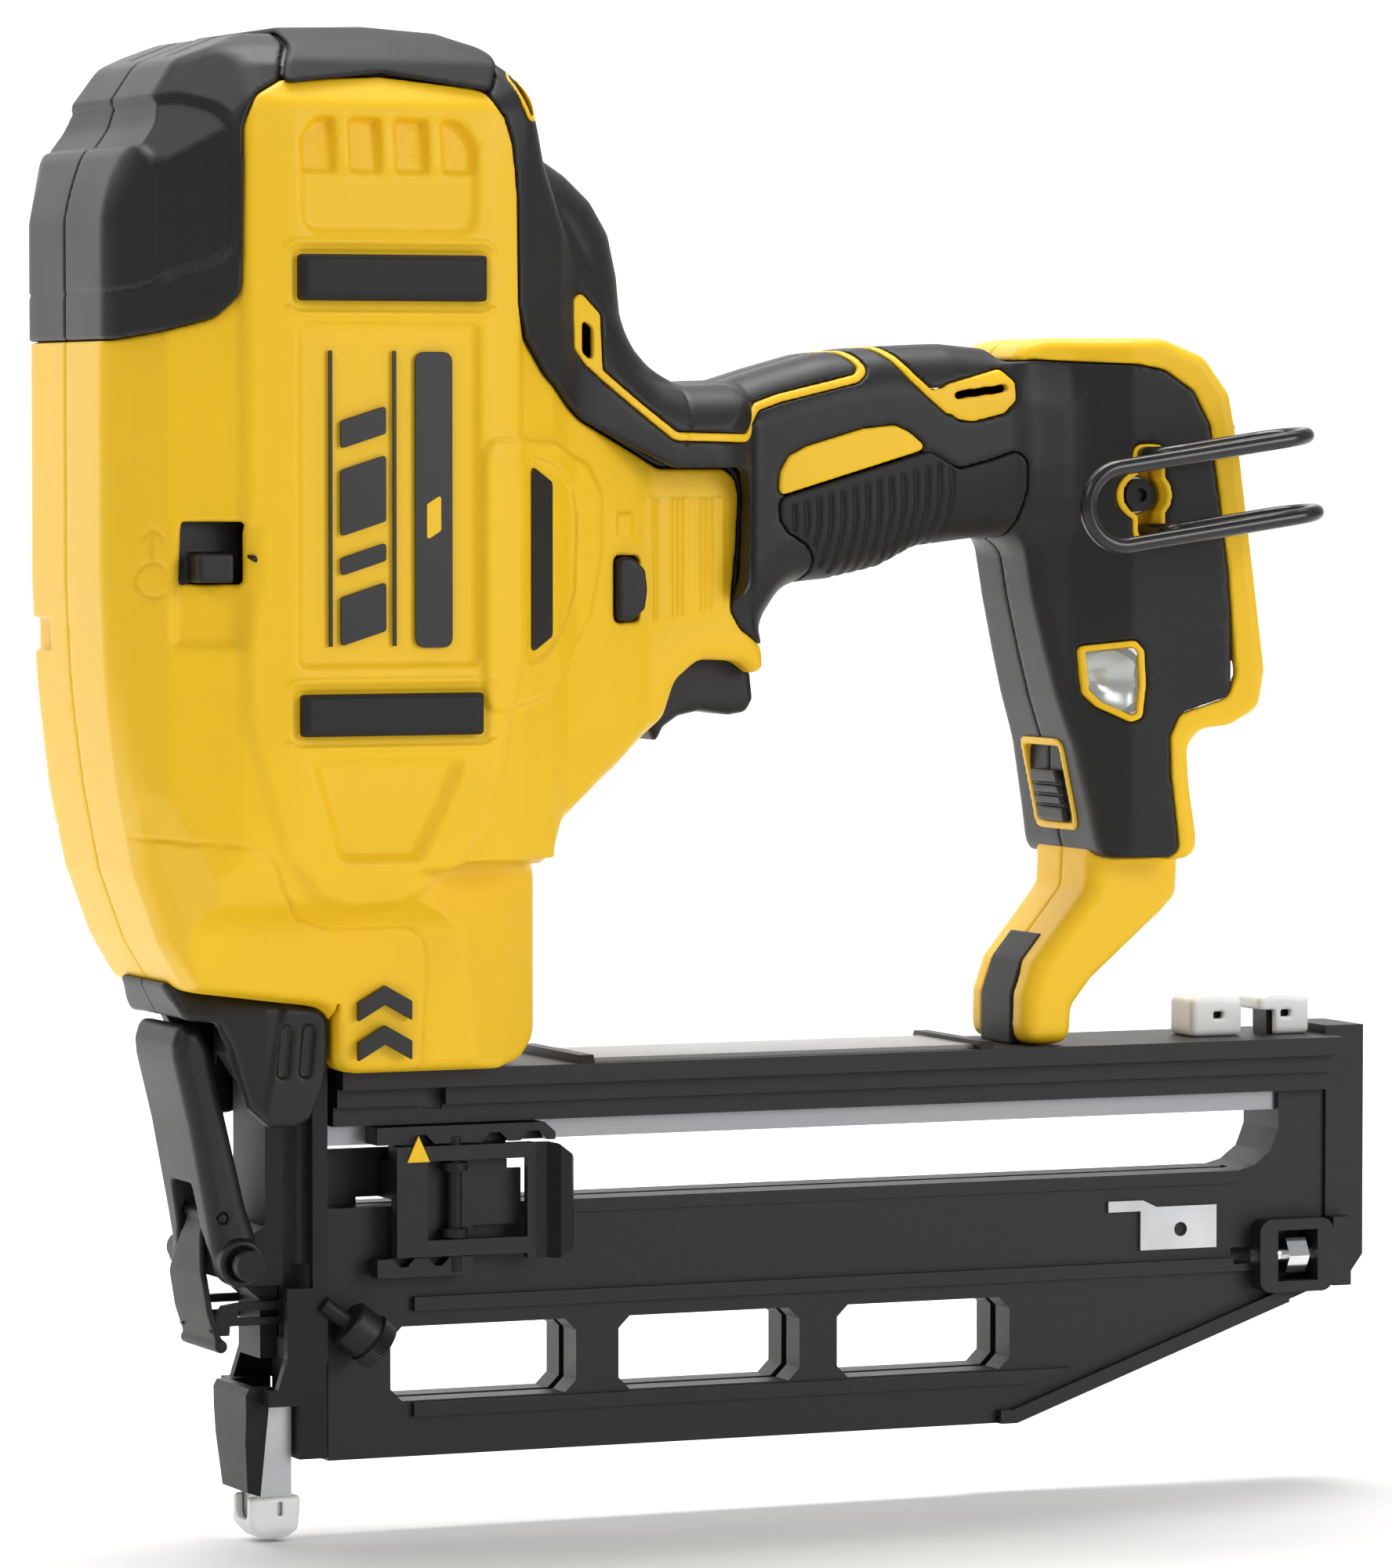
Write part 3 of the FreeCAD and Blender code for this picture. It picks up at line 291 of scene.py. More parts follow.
def surface(name, colour, roughness, metallic=0.0, grain=0.3, grain_depth=0.02, mottle=0.06, stretch=None,
            wear=0.08, specular=0.5, subsurface=0.0, transmission=0.0):
    """A procedural material: moulded grain or brushing in the bump, with uneven colour and roughness.

    grain is the size of the texture in millimetres and grain_depth its depth, stretch draws it out
    along one axis, mottle is the spread of the colour and wear that of the roughness."""
    material = bpy.data.materials.new(name)
    material.use_nodes = True
    nodes, links = material.node_tree.nodes, material.node_tree.links
    shader = nodes["Principled BSDF"]
    shader.inputs["Metallic"].default_value = metallic
    shader.inputs["Specular IOR Level"].default_value = specular
    shader.inputs["Subsurface Weight"].default_value = subsurface
    shader.inputs["Subsurface Radius"].default_value = (0.004, 0.004, 0.004)
    shader.inputs["Transmission Weight"].default_value = transmission
    place = nodes.new("ShaderNodeTexCoord")
    mapping = nodes.new("ShaderNodeMapping")
    mapping.inputs["Scale"].default_value = stretch or (1.0, 1.0, 1.0)
    links.new(place.outputs["Object"], mapping.inputs["Vector"])
    fine = nodes.new("ShaderNodeTexNoise")
    fine.inputs["Scale"].default_value = 1.0 / (grain * MM)
    fine.inputs["Detail"].default_value = 3.0
    links.new(mapping.outputs["Vector"], fine.inputs["Vector"])
    bump = nodes.new("ShaderNodeBump")
    bump.inputs["Strength"].default_value = 0.6
    bump.inputs["Distance"].default_value = grain_depth * MM
    links.new(fine.outputs["Fac"], bump.inputs["Height"])
    links.new(bump.outputs["Normal"], shader.inputs["Normal"])
    broad = nodes.new("ShaderNodeTexNoise")
    broad.inputs["Scale"].default_value = 38.0
    broad.inputs["Detail"].default_value = 4.0
    broad.inputs["Roughness"].default_value = 0.6
    links.new(mapping.outputs["Vector"], broad.inputs["Vector"])
    tint = nodes.new("ShaderNodeValToRGB")
    tint.color_ramp.elements[0].position, tint.color_ramp.elements[1].position = 0.3, 0.7
    tint.color_ramp.elements[0].color = [c * (1 - mottle) for c in colour] + [1]
    tint.color_ramp.elements[1].color = [min(1.0, c * (1 + mottle)) for c in colour] + [1]
    links.new(broad.outputs["Fac"], tint.inputs["Fac"])
    links.new(tint.outputs["Color"], shader.inputs["Base Color"])
    spread = nodes.new("ShaderNodeMapRange")
    spread.inputs["To Min"].default_value = max(0.02, roughness - wear)
    spread.inputs["To Max"].default_value = min(1.0, roughness + wear)
    links.new(broad.outputs["Fac"], spread.inputs["Value"])
    links.new(spread.outputs["Result"], shader.inputs["Roughness"])
    MATERIALS[name] = material
    return material


surface("yellow", (0.86, 0.52, 0.012), 0.42, grain=0.35, grain_depth=0.014, mottle=0.02, wear=0.05,
        specular=0.3)
surface("black", (0.0095, 0.0095, 0.010), 0.46, grain=0.30, grain_depth=0.035, mottle=0.12, wear=0.07,
        specular=0.36)
surface("rubber", (0.009, 0.009, 0.0095), 0.55, grain=0.25, grain_depth=0.04, mottle=0.15, wear=0.06,
        specular=0.34)
surface("gloss_black", (0.012, 0.012, 0.013), 0.22, grain=0.8, grain_depth=0.01, mottle=0.1, wear=0.05)
surface("graphic_black", (0.006, 0.006, 0.006), 0.35, grain=0.5, grain_depth=0.006, mottle=0.1, wear=0.05)
surface("painted_steel", (0.012, 0.012, 0.013), 0.46, grain=0.5, grain_depth=0.02, mottle=0.15, wear=0.08,
        specular=0.22)
surface("steel", (0.30, 0.30, 0.31), 0.34, metallic=1.0, grain=0.25, grain_depth=0.01, mottle=0.08,
        stretch=(0.08, 1.0, 1.0), wear=0.09)
surface("galvanised", (0.50, 0.51, 0.52), 0.42, metallic=1.0, grain=1.6, grain_depth=0.02, mottle=0.16,
        wear=0.12)
surface("chrome", (0.80, 0.81, 0.83), 0.14, metallic=1.0, grain=1.0, grain_depth=0.004, mottle=0.05,
        wear=0.05)
surface("aluminium", (0.58, 0.59, 0.61), 0.45, metallic=1.0, grain=0.4, grain_depth=0.03, mottle=0.1)
surface("motor_iron", (0.16, 0.10, 0.06), 0.5, metallic=0.5, grain=0.5, grain_depth=0.03, mottle=0.3)
surface("potting", (0.02, 0.05, 0.035), 0.3, grain=2.0, grain_depth=0.03, mottle=0.3)
surface("pale_polymer", (0.80, 0.81, 0.79), 0.35, grain=0.6, grain_depth=0.01, mottle=0.03, subsurface=0.25)
surface("sight_grey", (0.30, 0.30, 0.30), 0.34, grain=0.6, grain_depth=0.006, mottle=0.05)
surface("lens", (0.90, 0.92, 0.90), 0.12, grain=1.0, grain_depth=0.01, mottle=0.03, transmission=0.85)
surface("reflector", (0.75, 0.76, 0.78), 0.2, metallic=1.0, grain=0.5, grain_depth=0.02, mottle=0.1)

NODE_LOOKS = {
    "steel": ["steel_rail", "driver", "return_rails", "return_springs", "trip_spring",
              "pivot_pins", "motor_axle", "pinch_roller", "pinch_arm", "flywheel", "hook_sockets"],
    "galvanised": ["latch_plate", "nose_foot"],
    "chrome": ["end_bolt"],
    "aluminium": ["drive_frame"],
    "motor_iron": ["motor_stator", "solenoid"],
    "potting": ["control_module"],
    "pale_polymer": ["no_mar_tip", "spare_pad_1", "spare_pad_2"],
    "sight_grey": ["sight_plate"],
    "lens": ["led_lenses"],
    "yellow": ["left_shell", "right_shell", "left_rear_shell", "right_rear_shell", "led_bezels"],
    "rubber": ["top_bumper", "side_pads", "strut_strap", "driver_bumper"],
    "painted_steel": ["pusher_pin", "hook_link", "hook_bracket", "front_door", "latch_pin", "contact_trip",
                      "nose_block", "housing_screws"],
    "gloss_black": ["belt_hook", "trigger_switch", "terminal_block"],
}


def dress_nodes():
    look = {node: name for name, nodes in NODE_LOOKS.items() for node in nodes}
    for name, node in NODES.items():
        node.data.materials.clear()
        node.data.materials.append(MATERIALS[look.get(name, "black")])
        bevel = node.modifiers.new("edges", "BEVEL")
        bevel.width = 0.00035
        bevel.segments = 2
        bevel.limit_method = "ANGLE"
        bevel.angle_limit = math.radians(32)
        bevel.harden_normals = True


dress_nodes()

# ---- housing outlines, in millimetres ----
BODY = curve([
    (5, 101), (44, 101), (51, 102.5), (55.5, 107), (55.5, 142), (53.5, 147), (56.5, 153), (68, 163),
    (76, 169), (84, 175), (87, 183), (93, 187.5), (103, 187), (106.5, 184), (109.5, 185), (109, 190),
    (104.5, 197), (106, 215), (106, 232), (88, 245), (72, 257), (63, 269), (53, 283), (48.2, 293),
    (46.4, 300), (44.6, 305.5), (42.4, 309.6), (39.6, 313.2), (36, 316.6), (28, 319.2), (12, 320.3),
    (-16, 319.5), (-30, 314), (-35.5, 306), (-37, 301), (-42, 294), (-46.6, 281), (-46.6, 205),
    (-45, 185), (-42, 162), (-38.5, 144), (-33.2, 129.5), (-29, 122.4), (-27.4, 120), (-26, 119.2),
    (-22, 118.6), (5, 115)], 6)
BODY_PLAN = curve([
    (-46.8, -20), (-46.8, 24), (-44, 28), (-37, 38), (-22, 45), (-11, 47), (33, 47), (42, 43.5), (52, 37),
    (58, 31), (68, 26), (80, 19.5), (104, 16), (113, 14), (113, -20)], 5)
BODY_FRONT = curve([
    (-20, 90), (26, 90), (28.5, 108), (31, 131), (40, 137), (45, 146), (47, 160), (47, 292), (45, 304),
    (38, 313), (26, 321.9), (24, 340), (-20, 340)], 9)
BULGE = curve([
    (43, 200), (43, 297), (53, 296), (60, 291.5), (66, 286), (70.2, 279), (72.2, 270), (73, 262),
    (75.6, 253.6), (80, 248.6), (87, 246.6), (104, 247.2), (104, 200)], 6)
HANDLE = curve([
    (80, 246.6), (87, 246.6), (92, 246.2), (101, 247.2), (112.4, 250.6), (123.6, 253.6), (137, 255.2),
    (154, 256), (165, 255), (178, 252.6), (190, 250), (190, 212), (165, 213.5), (148, 211.5), (139, 207),
    (127, 204.5), (116, 203.5), (110.5, 195.5), (110, 189), (104, 189), (84, 215)], 9)
REAR = curve([
    (169, 253), (171.5, 256), (177, 257.2), (201, 257.2), (210.6, 253.2), (216.4, 245), (219, 231),
    (224.8, 184), (223.4, 175.4), (217, 171.8), (209.6, 170.6), (207, 167), (207.6, 158), (210, 142),
    (188, 142), (186, 153), (183, 167), (179.4, 178), (176.8, 188), (174, 200), (171.6, 214)], 5)
REAR_PLAN = curve([
    (150, -20), (150, 14.5), (174, 15), (182, 17), (193, 23.5), (203, 25), (222, 28), (240, 30),
    (240, -20)], 5)
PANEL = curve([
    (140, 275), (140, 142.4), (202.6, 142.4), (204.6, 144.6), (202.8, 160), (202.4, 169.4),
    (204.6, 174.4), (210, 176.2), (215.6, 178), (217.4, 183), (215.6, 206), (211.4, 238), (207.6, 245.6),
    (201, 250.2), (195, 251.4), (174, 252.4), (166, 252), (158, 275)], 3)
STRUT = curve([
    (188, 147), (209.6, 147), (210.2, 142), (209.8, 133.6), (206, 129.8), (189, 115.6), (184, 109.5),
    (183.5, 101.2), (171.6, 101.2), (171.8, 112), (174.4, 119.6), (182.4, 129.4), (187.4, 135.6)], 4)
CAP_EDGE = curve([
    (-80, 255.3), (-44, 255.6), (-38, 257), (-27, 260), (-22, 265), (-21.5, 300), (-18.5, 306),
    (-12, 309.4), (10, 310.4), (30, 308.4), (33, 307.4), (35.5, 303), (41, 300), (41, 400),
    (-80, 400)], 5)
BLACK_EDGE = curve([
    (35.5, 400), (35.5, 305), (38, 297), (39.2, 286), (39.6, 263), (41.4, 256.5), (47.6, 249), (60, 239),
    (82, 228.8), (98, 228.8), (101, 227), (102, 223), (101.5, 213), (100, 198), (102.5, 194),
    (107.5, 190.8), (112, 189.5), (140, 180), (260, 180), (260, 400)], 3)


def body_field(grid):
    """The main body before its relief, with its rear corners, upper front and chin cut off flat."""
    plan = outline(BODY_PLAN, grid.x, grid.w)
    front = outline(BODY_FRONT, grid.w, grid.z)
    side = outline(BODY, grid.x, grid.z)
    field = both(both(plan, front, 3.0), side, 3.5)
    corner = ((grid.x - 37) * 14 + (grid.w - 28) * 18.5) / 23.2
    field = without(field, both(-corner, grid.z - 144.5, 2.0), 2.0)
    bevel = -0.596 * grid.x + 0.590 * grid.w + 0.545 * grid.z - 204.1
    chin = (-0.80 * grid.x + 0.52 * grid.w - 0.30 * grid.z) - 1.2
    return both(both(field, bevel, 1.5), chin, 2.0)


# ---- yellow housing halves ----
SIDE_FIELD = curve([
    (-23, 330), (-23, 200), (-22.5, 176), (-14.5, 148.5), (-5, 138), (3, 135.2), (14, 136), (25, 141),
    (32.5, 153), (37, 165), (42, 190), (42, 330)], 8)
ARCH = curve([(-10.2, 277), (-10.2, 298), (-6.5, 302.6), (26.5, 302.2), (30.2, 297), (30.2, 277)], 5)
MIDDLE = curve([(-10.8, 187), (-10.8, 260), (30.6, 260), (30.6, 187)], 2.5)
FOOT = curve([(-9, 170), (-1.5, 146), (18, 146), (28.5, 170)], 3.5)
DISH = curve([(-36, 190.5), (-36, 205), (-34, 219), (-17.5, 219), (-17.5, 204), (-20, 190.5)], 3)
D_PANEL = curve([
    (30, 236), (51, 235), (62, 230.5), (66.5, 224), (66.5, 211), (63.5, 198), (56, 186.5), (48, 180),
    (30, 176)], 5)
D_LABEL = curve([
    (41.5, 232.5), (50, 230.5), (57.5, 225), (59, 219), (58.5, 203), (55, 196), (49, 189.5),
    (41.5, 186)], 3)
SPLIT = curve([
    (-60, 153.6), (-41, 152.3), (-20, 150.6), (-15, 148), (-11.5, 140.5), (-6, 134.5), (2, 131.6),
    (20, 131.6), (23.6, 129.6), (24.3, 124), (23.6, 90)], 5, closed=False)
FINS, FIN_HALF = (-0.2, 9.9, 20.4), 2.4               # X of the fins in the arch, and their half width
RIBS = np.arange(79.6, 98.6, 1.02)                    # X of the fine ribs over the trigger
SCREWS = ((62.0, 181.0, 24.0), (-29.0, 143.0, 29.0), (-37.5, 262.0, 27.0), (50.0, 276.0, 29.0),
          (150.0, 232.0, 11.5), (197.2, 160.0, 13.0))  # X, Z and seat of each housing screw
BOSS_R, THREAD_R, HEAD_R = 4.2, 1.5, 3.3
WALL = 2.6
MARK_FACE, FOOT_FACE = 45.5, 29.2                     # flats of the side and the foot with the marks
MARK_EDGE = 0.12                                      # eased edge of a mark


def shell_relief(grid):
    """How far the side stands out of the plain body, by X and Z."""
    x, z = grid.x, grid.z
    relief = 2.0 * ramp(outline(SIDE_FIELD, x, z), 3.2) - 2.0
    relief = relief - 2.0 * ramp(outline(MIDDLE, x, z), 1.8)
    relief = relief - 2.6 * ramp(outline(FOOT, x, z), 3.4)
    arch = ramp(outline(ARCH, x, z), 2.0)
    fins = np.zeros_like(arch)
    for spot in FINS:
        low, high = spot - FIN_HALF, spot + FIN_HALF
        rib = curve([(low, 287.5), (low, 312), (high, 312), (high, 287.5)], FIN_HALF)
        fins = np.maximum(fins, ramp(outline(rib, x, z), 1.3))
    upper = ramp(289.6 - z, 1.4)
    relief = relief - arch * (1.5 + upper * (1.6 * (1 - fins) - 1.0 * fins))
    relief = relief - 1.8 * ramp(outline(DISH, x, z), 3.5)
    relief = relief + 1.7 * ramp(outline(D_PANEL, x, z), 1.6)
    relief = relief - 1.0 * ramp(outline(D_LABEL, x, z), 1.0)
    relief = relief - 0.7 * ramp(line(SPLIT, x, z) - 0.65, 0.5)
    for z0, z1 in ((262.6, 274.4), (172.4, 183.2)):       # the lips round the side pads
        pad = outline(curve([(-11.8, z0), (-11.8, z1), (32, z1), (32, z0)], 2), x, z)
        relief = relief - 0.6 * ramp(pad, 0.5)
        relief = relief + 0.9 * ramp(np.abs(pad - 1.6) - 0.9, 0.7) * (slab(z, z0, z1) > 0)
    return relief


def trigger_side_relief(grid):
    """The ribbed pad and the two ledges beside the trigger."""
    x, z = grid.x, grid.z
    relief = np.float32(0) * x * z
    floor = 195.2 + 0.16 * (x - 79)
    for spot in RIBS:
        rib = both(np.abs(x - spot) - 0.26, both(floor - z, z - 222.6))
        relief = np.maximum(relief, 0.62 * ramp(rib - 0.2, 0.45))
    ledge = both(slab(x, 69.5, 74.5), slab(z, 213.6, 219.6))
    relief = relief + 0.9 * ramp(ledge, 0.8)
    return relief


def with_bosses(field, outside, grid, right):
    """Screw posts inside both halves. The screws go in from the right."""
    for x, z, seat in SCREWS:
        hole = rod(grid.x, grid.z, x, z, 0.0)
        field = either(field, both(hole - BOSS_R, outside), 0.3)
        if right:
            field = without(without(field, both(hole - HEAD_R, seat - grid.w), 0.2), hole - THREAD_R)
        else:
            field = without(field, both(hole - THREAD_R, grid.w - 8.2))
    return field


def shell_outside(grid):
    side_weight = np.clip((grid.w - 22) / 8, 0, 1)
    return body_field(grid) - shell_relief(grid) * side_weight - trigger_side_relief(grid) * (grid.w > 9)


def make_shell():
    grid = Grid((-48, -1.5, 99), (112, 49.5, 324), FINE)
    outside = shell_outside(grid)
    ring = np.abs(rod(grid.w, grid.z, 33.0, 205.8, 3.6)) - 0.35
    arrow = line([(33.0, 210.4), (33.0, 216.6)], grid.w, grid.z)
    barbs = line([(30.9, 214.4), (33.0, 216.8), (35.1, 214.4)], grid.w, grid.z)
    mark = both(np.minimum(ring, np.minimum(arrow, barbs) - 0.35), grid.x + 36)
    outside = outside + 0.65 * ramp(mark - 0.25, 0.4)
    cap = outline(CAP_EDGE, grid.x, grid.z)
    black = outline(BLACK_EDGE, grid.x, grid.z)
    field = without(without(outside, cap - 0.12, 0.4), black - 0.12, 0.4)
    field = without(field, outside + WALL)
    field = without(field, block(grid, -33, -21, 20, 60, 205, 218, 0.8), 0.4)
    field = without(field, block(grid, 69.2, 76.8, -5, 60, 195.8, 210.2, 1.5), 0.4)
    field = without(field, block(grid, 77.5, 111, -5, 8.6, 160, 192))
    field = without(field, block(grid, -9, 9.5, -5, 17, 90, 122))
    field = without(field, block(grid, 4.8, 5.6, -5, 60, 96, 116.5, 0.2), 0.2)
    yellow = both(outside + 0.6, np.maximum(-cap, -black) + 0.8)
    notch_wall = both(outside, block(grid, -50, -38.5, 8, 34, 186, 201))
    right = with_bosses(either(field, notch_wall), yellow, grid, True)
    right = without(right, block(grid, -60, -42.3, 12, 50, 190.2, 197, 0.6), 0.5)
    halves("shell", with_bosses(field, yellow, grid, False), grid, "yellow",
           (["left_shell"], ["right_shell"]), right=right)


# ---- black caps and handle ----
VENT = ((40.4, 310.6), (43.6, 303.4))                 # slanted opening in the black band
TOP_SLIT = ((-25.5, 12), (-16.5, 12))
BUMPER = curve([
    (-12.4, 308.4), (-10.6, 313), (-8.2, 316.5), (-7.6, 330), (38.6, 330), (38.8, 317), (33.6, 307.6),
    (10, 311.0)], 2.0)


def make_caps():
    grid = Grid((-48, -1.5, 254), (43, 48.5, 324), FINE)
    body = body_field(grid)
    x, z = grid.x, grid.z
    cap = outline(CAP_EDGE, x, z)
    loop = curve([(-80, 304.5), (-46, 305), (-31, 306), (-25.5, 304), (-23.4, 300), (-23.4, 275), (-26, 272),
                  (-35, 269), (-41, 266), (-46, 265.4), (-80, 265.2)], 4)
    scoop = curve([(-80, 240), (-36.4, 240), (-36.4, 292), (-40, 299.5), (-46, 302), (-80, 302)], 4)
    in_loop = outline(loop, x, z)
    relief = -0.5 * ramp(np.abs(in_loop) - 0.6, 0.5)
    relief = relief - 1.3 * ramp(in_loop, 1.2) * (1 - ramp(outline(scoop, x, z), 2.5))
    slit = line(TOP_SLIT, x, grid.w)
    relief = relief - 1.2 * ramp(slit - 1.5, 0.4) * (z > 308)
    relief = relief - 0.7 * ramp(np.abs(outline(BUMPER, x, z)) - 0.9, 0.5) * (z > 300)
    outside = body - relief
    field = both(outside, cap + 0.12, 0.4)
    field = without(field, outside + WALL)
    inner = both(outside + 0.6, cap + 0.8)
    halves("cap", with_bosses(field, inner, grid, False), grid, "black",
           (["left_cap"], ["right_cap"]), right=with_bosses(field, inner, grid, True), limit=120000)
    part = Grid((-29, 9, 308), (-13, 15, 322), CRISP)
    body = body_field(part)
    insert = both(both(body + 0.5, -body - 1.5), line(TOP_SLIT, part.x, part.w) - 1.1)
    both_hands("cap_vents", insert, part, "yellow", ())


PIPE_1 = curve([
    (62.5, 250.5), (82, 235.6), (100, 235.2), (103.4, 238), (106.5, 242), (112, 243.9), (130.5, 248.2),
    (132.6, 250), (131.4, 252.4), (127, 256.5), (122, 262)], 2.5, closed=False)
INSERT_1 = curve([(57, 265), (59.4, 266.2), (64.6, 261.6), (65, 248), (60.6, 250.6), (57.2, 254.4)], 1.5)
PIPE_2 = curve([(131, 262), (137, 255.8), (140.4, 252.6), (143.6, 248.6), (147, 245.4), (152, 241.4)], 2.5,
               closed=False)
INSERT_2 = curve([
    (148.2, 246.4), (150, 246), (152, 247.2), (165.4, 250.6), (168.4, 247.6), (168.4, 243.4),
    (165.6, 240.6), (158, 238.8), (154.4, 239.2), (148, 243.6)], 1.6)
PATCH = curve([
    (111.2, 222.5), (111.6, 228), (113.6, 231.4), (118, 233.6), (131.4, 237.4), (139, 238.2),
    (142.4, 236.8), (147.4, 233)], 1.6)
GRIP = curve([
    (111.4, 222.2), (147.6, 232.6), (154.6, 228.6), (162, 230.4), (168.6, 232.6), (171, 230.4),
    (171, 224), (168.8, 214), (167, 204), (150, 200), (122, 190), (118.4, 203.2), (120.4, 206.2),
    (120.4, 209.4), (118.2, 212.2), (113.6, 214.8), (111.6, 217.6)], 2.5)
GROOVES = [curve([(115 + 2.9 * k, 220.6 + 0.75 * k), (115.2 + 2.9 * k, 216 + 0.55 * k),
                  (113.8 + 2.9 * k, 216.2 - 5 - 1.2 * k if k < 5 else 199)], 6, closed=False)
           for k in range(14)]
SOCKET_SPOT = (196.5, 222.7)                          # X and Z of the belt hook screw
LED_WINDOW = curve([
    (182.8, 189.4), (194.2, 190.8), (196.2, 188.6), (196.6, 181), (195.8, 173.6), (193.2, 172.6),
    (186.6, 176), (183.8, 179)], 1.6)
SOCKET = curve([(193.6, 212.4), (193.6, 234), (201, 234), (201, 212.4)], 2.6)
BULGE_HALF, HANDLE_HALF, STRUT_HALF = 29, 16.8, 15.4  # half widths


def handle_field(grid):
    """The body with the motor bulge, the handle and the rear block run into it."""
    bulge = both(outline(BULGE, grid.x, grid.z), slab(grid.w, -30, BULGE_HALF), 13.0)
    bar = both(outline(HANDLE, grid.x, grid.z), slab(grid.w, -30, HANDLE_HALF), 11.5)
    rear = both(outline(REAR, grid.x, grid.z), outline(REAR_PLAN, grid.x, grid.w), 3.0)
    return either(either(either(body_field(grid), bulge, 2.5), bar, 3.0), rear, 5.0)


def make_handle():
    grid = Grid((36, -1.5, 138), (216, 48, 324), FINE)
    x, z = grid.x, grid.z
    panel = outline(PANEL, x, z)
    black = outline(BLACK_EDGE, x, z)
    yellow_zone = np.minimum(line(PIPE_1, x, z) - 1.0, line(PIPE_2, x, z) - 1.0)
    for region in (INSERT_1, INSERT_2, PATCH):
        yellow_zone = np.minimum(yellow_zone, outline(region, x, z))
    grip = outline(GRIP, x, z)
    slots = outline(curve([(59.6, 260.6), (62.4, 258.8), (62.4, 251.4), (59.6, 253.4)], 1.2), x, z)
    for k in range(3):
        bar = [(154.4 + 4.0 * k, 244.6 + 0.5 * k), (157.6 + 4.0 * k, 245.2 + 0.5 * k)]
        slots = np.minimum(slots, line(bar, x, z) - 0.9)
    seam_line = line([(87.6, 262), (86.2, 240), (84, 233.6)], x, z)
    vent = np.maximum(line(VENT, x, z), 24 - grid.w)
    outside = handle_field(grid)
    outside = outside + 0.45 * ramp(seam_line - 0.5, 0.4)
    outside = outside + 0.35 * ramp(np.abs(yellow_zone) - 0.3, 0.3) + 0.35 * ramp(np.abs(grip) - 0.3, 0.3)
    dent = rod(x, z, 80.5, 262, 0.0)
    outside = outside + 0.8 * ramp(np.maximum(dent - 9.5, np.abs(x - 80.5) - 4.0), 3.5) * (grid.w > 3)
    solid = both(outside, np.where(x < 150, black, panel) + 0.12, 0.4)
    skin_only = without(solid, outside + WALL)
    body = body_field(grid)
    tongue = both(both(body + 2.5, black - 3.0), -body - 3.9)
    root = both(both(body + 0.6, black + 0.3), both(-body - 3.9, -black - 3.0))
    lip = both(np.minimum(tongue, root), slab(x, 38, 108))
    field = without(without(np.minimum(skin_only, lip), yellow_zone - 0.08), grip - 0.08)
    field = without(field, both(vent - 2.0, x - 60))
    field = without(field, block(grid, 77.5, 111, -5, 8.6, 160, 196))
    field = without(field, block(grid, 178, 184.6, -5, 9, 149, 168, 0.8))
    inner = both(solid + 0.6, outside + 0.6)
    window = outline(LED_WINDOW, x, z)
    field = without(field, both(window - 0.1, 15.6 - grid.w), 0.3)
    socket = np.minimum(outline(SOCKET, x, z), rod(x, z, *SOCKET_SPOT, 6.0))
    field = without(field, both(socket - 0.1, 12 - grid.w), 0.4)
    halves("handle", with_bosses(field, inner, grid, False), grid, "black",
           (["left_handle"], ["right_handle"]), right=with_bosses(field, inner, grid, True))
    part = Grid((36, 30, 299), (48, 46, 315), CRISP)
    near = resample(outside, grid, part)
    ring = both(near - 0.1, -near - 1.9)
    ring = both(ring, np.abs(line(VENT, part.x, part.z) - 1.35) - 0.55, 0.2)
    both_hands("side_vents", ring, part, "yellow", ())
    part = Grid((54, -1.5, 218), (172, 36, 268), CRISP)
    trim = both(resample(skin_only, grid, part), resample(yellow_zone, grid, part) + 0.1, 0.3)
    trim = without(trim, both(resample(slots, grid, part), 3.0 - part.w), 0.3)
    halves("piping", trim, part, "yellow", ((), ()), limit=60000)
    part = Grid((108, -1.5, 196), (174, 20, 236), CRISP)
    grooves = np.float32(9)
    for groove in GROOVES:
        grooves = np.minimum(grooves, line(groove, part.x, part.z))
    grooves = np.maximum(grooves - 0.32, 0.9 + resample(grip, grid, part))
    rubber = resample(skin_only, grid, part) + 0.55 * ramp(grooves - 0.3, 0.4)
    rubber = both(rubber, resample(grip, grid, part) + 0.1, 0.4)
    halves("grip", rubber, part, "rubber", ((), ()), limit=90000)


def make_rear():
    grid = Grid((164, -1.5, 99), (230, 32, 260), FINE)
    outside = both(outline(REAR, grid.x, grid.z), outline(REAR_PLAN, grid.x, grid.w), 3.0)
    strut = both(outline(STRUT, grid.x, grid.z), slab(grid.w, -30, STRUT_HALF), 4.0)
    panel = outline(PANEL, grid.x, grid.z)
    rim = without(outside, panel - 0.15, 0.4)
    rim = without(rim, outside + WALL)
    rim = without(rim, block(grid, 209.6, 240, -5, 24, 150, 246, 1.0), 0.6)
    strap = block(grid, 160, 174.2, -5, 8, 90, 123, 1.0)
    halves("rear_shell", either(rim, without(strut, strap, 0.4), 2.0), grid, "yellow",
           (["left_rear_shell"], ["right_rear_shell"]), limit=120000)


make_shell()
make_caps()
make_handle()
make_rear()


# ---- trim on the housing ----
def make_bumper():
    grid = Grid((-15, -45, 305), (43, 45, 325), 0.45)
    body = body_field_y(grid)
    pad = both(outline(BUMPER, grid.x, grid.z), body - 1.3, 0.9)
    pad = without(pad, body - 0.05)
    whole("top_bumper_part", pad, grid, "rubber", ["top_bumper"], limit=50000)


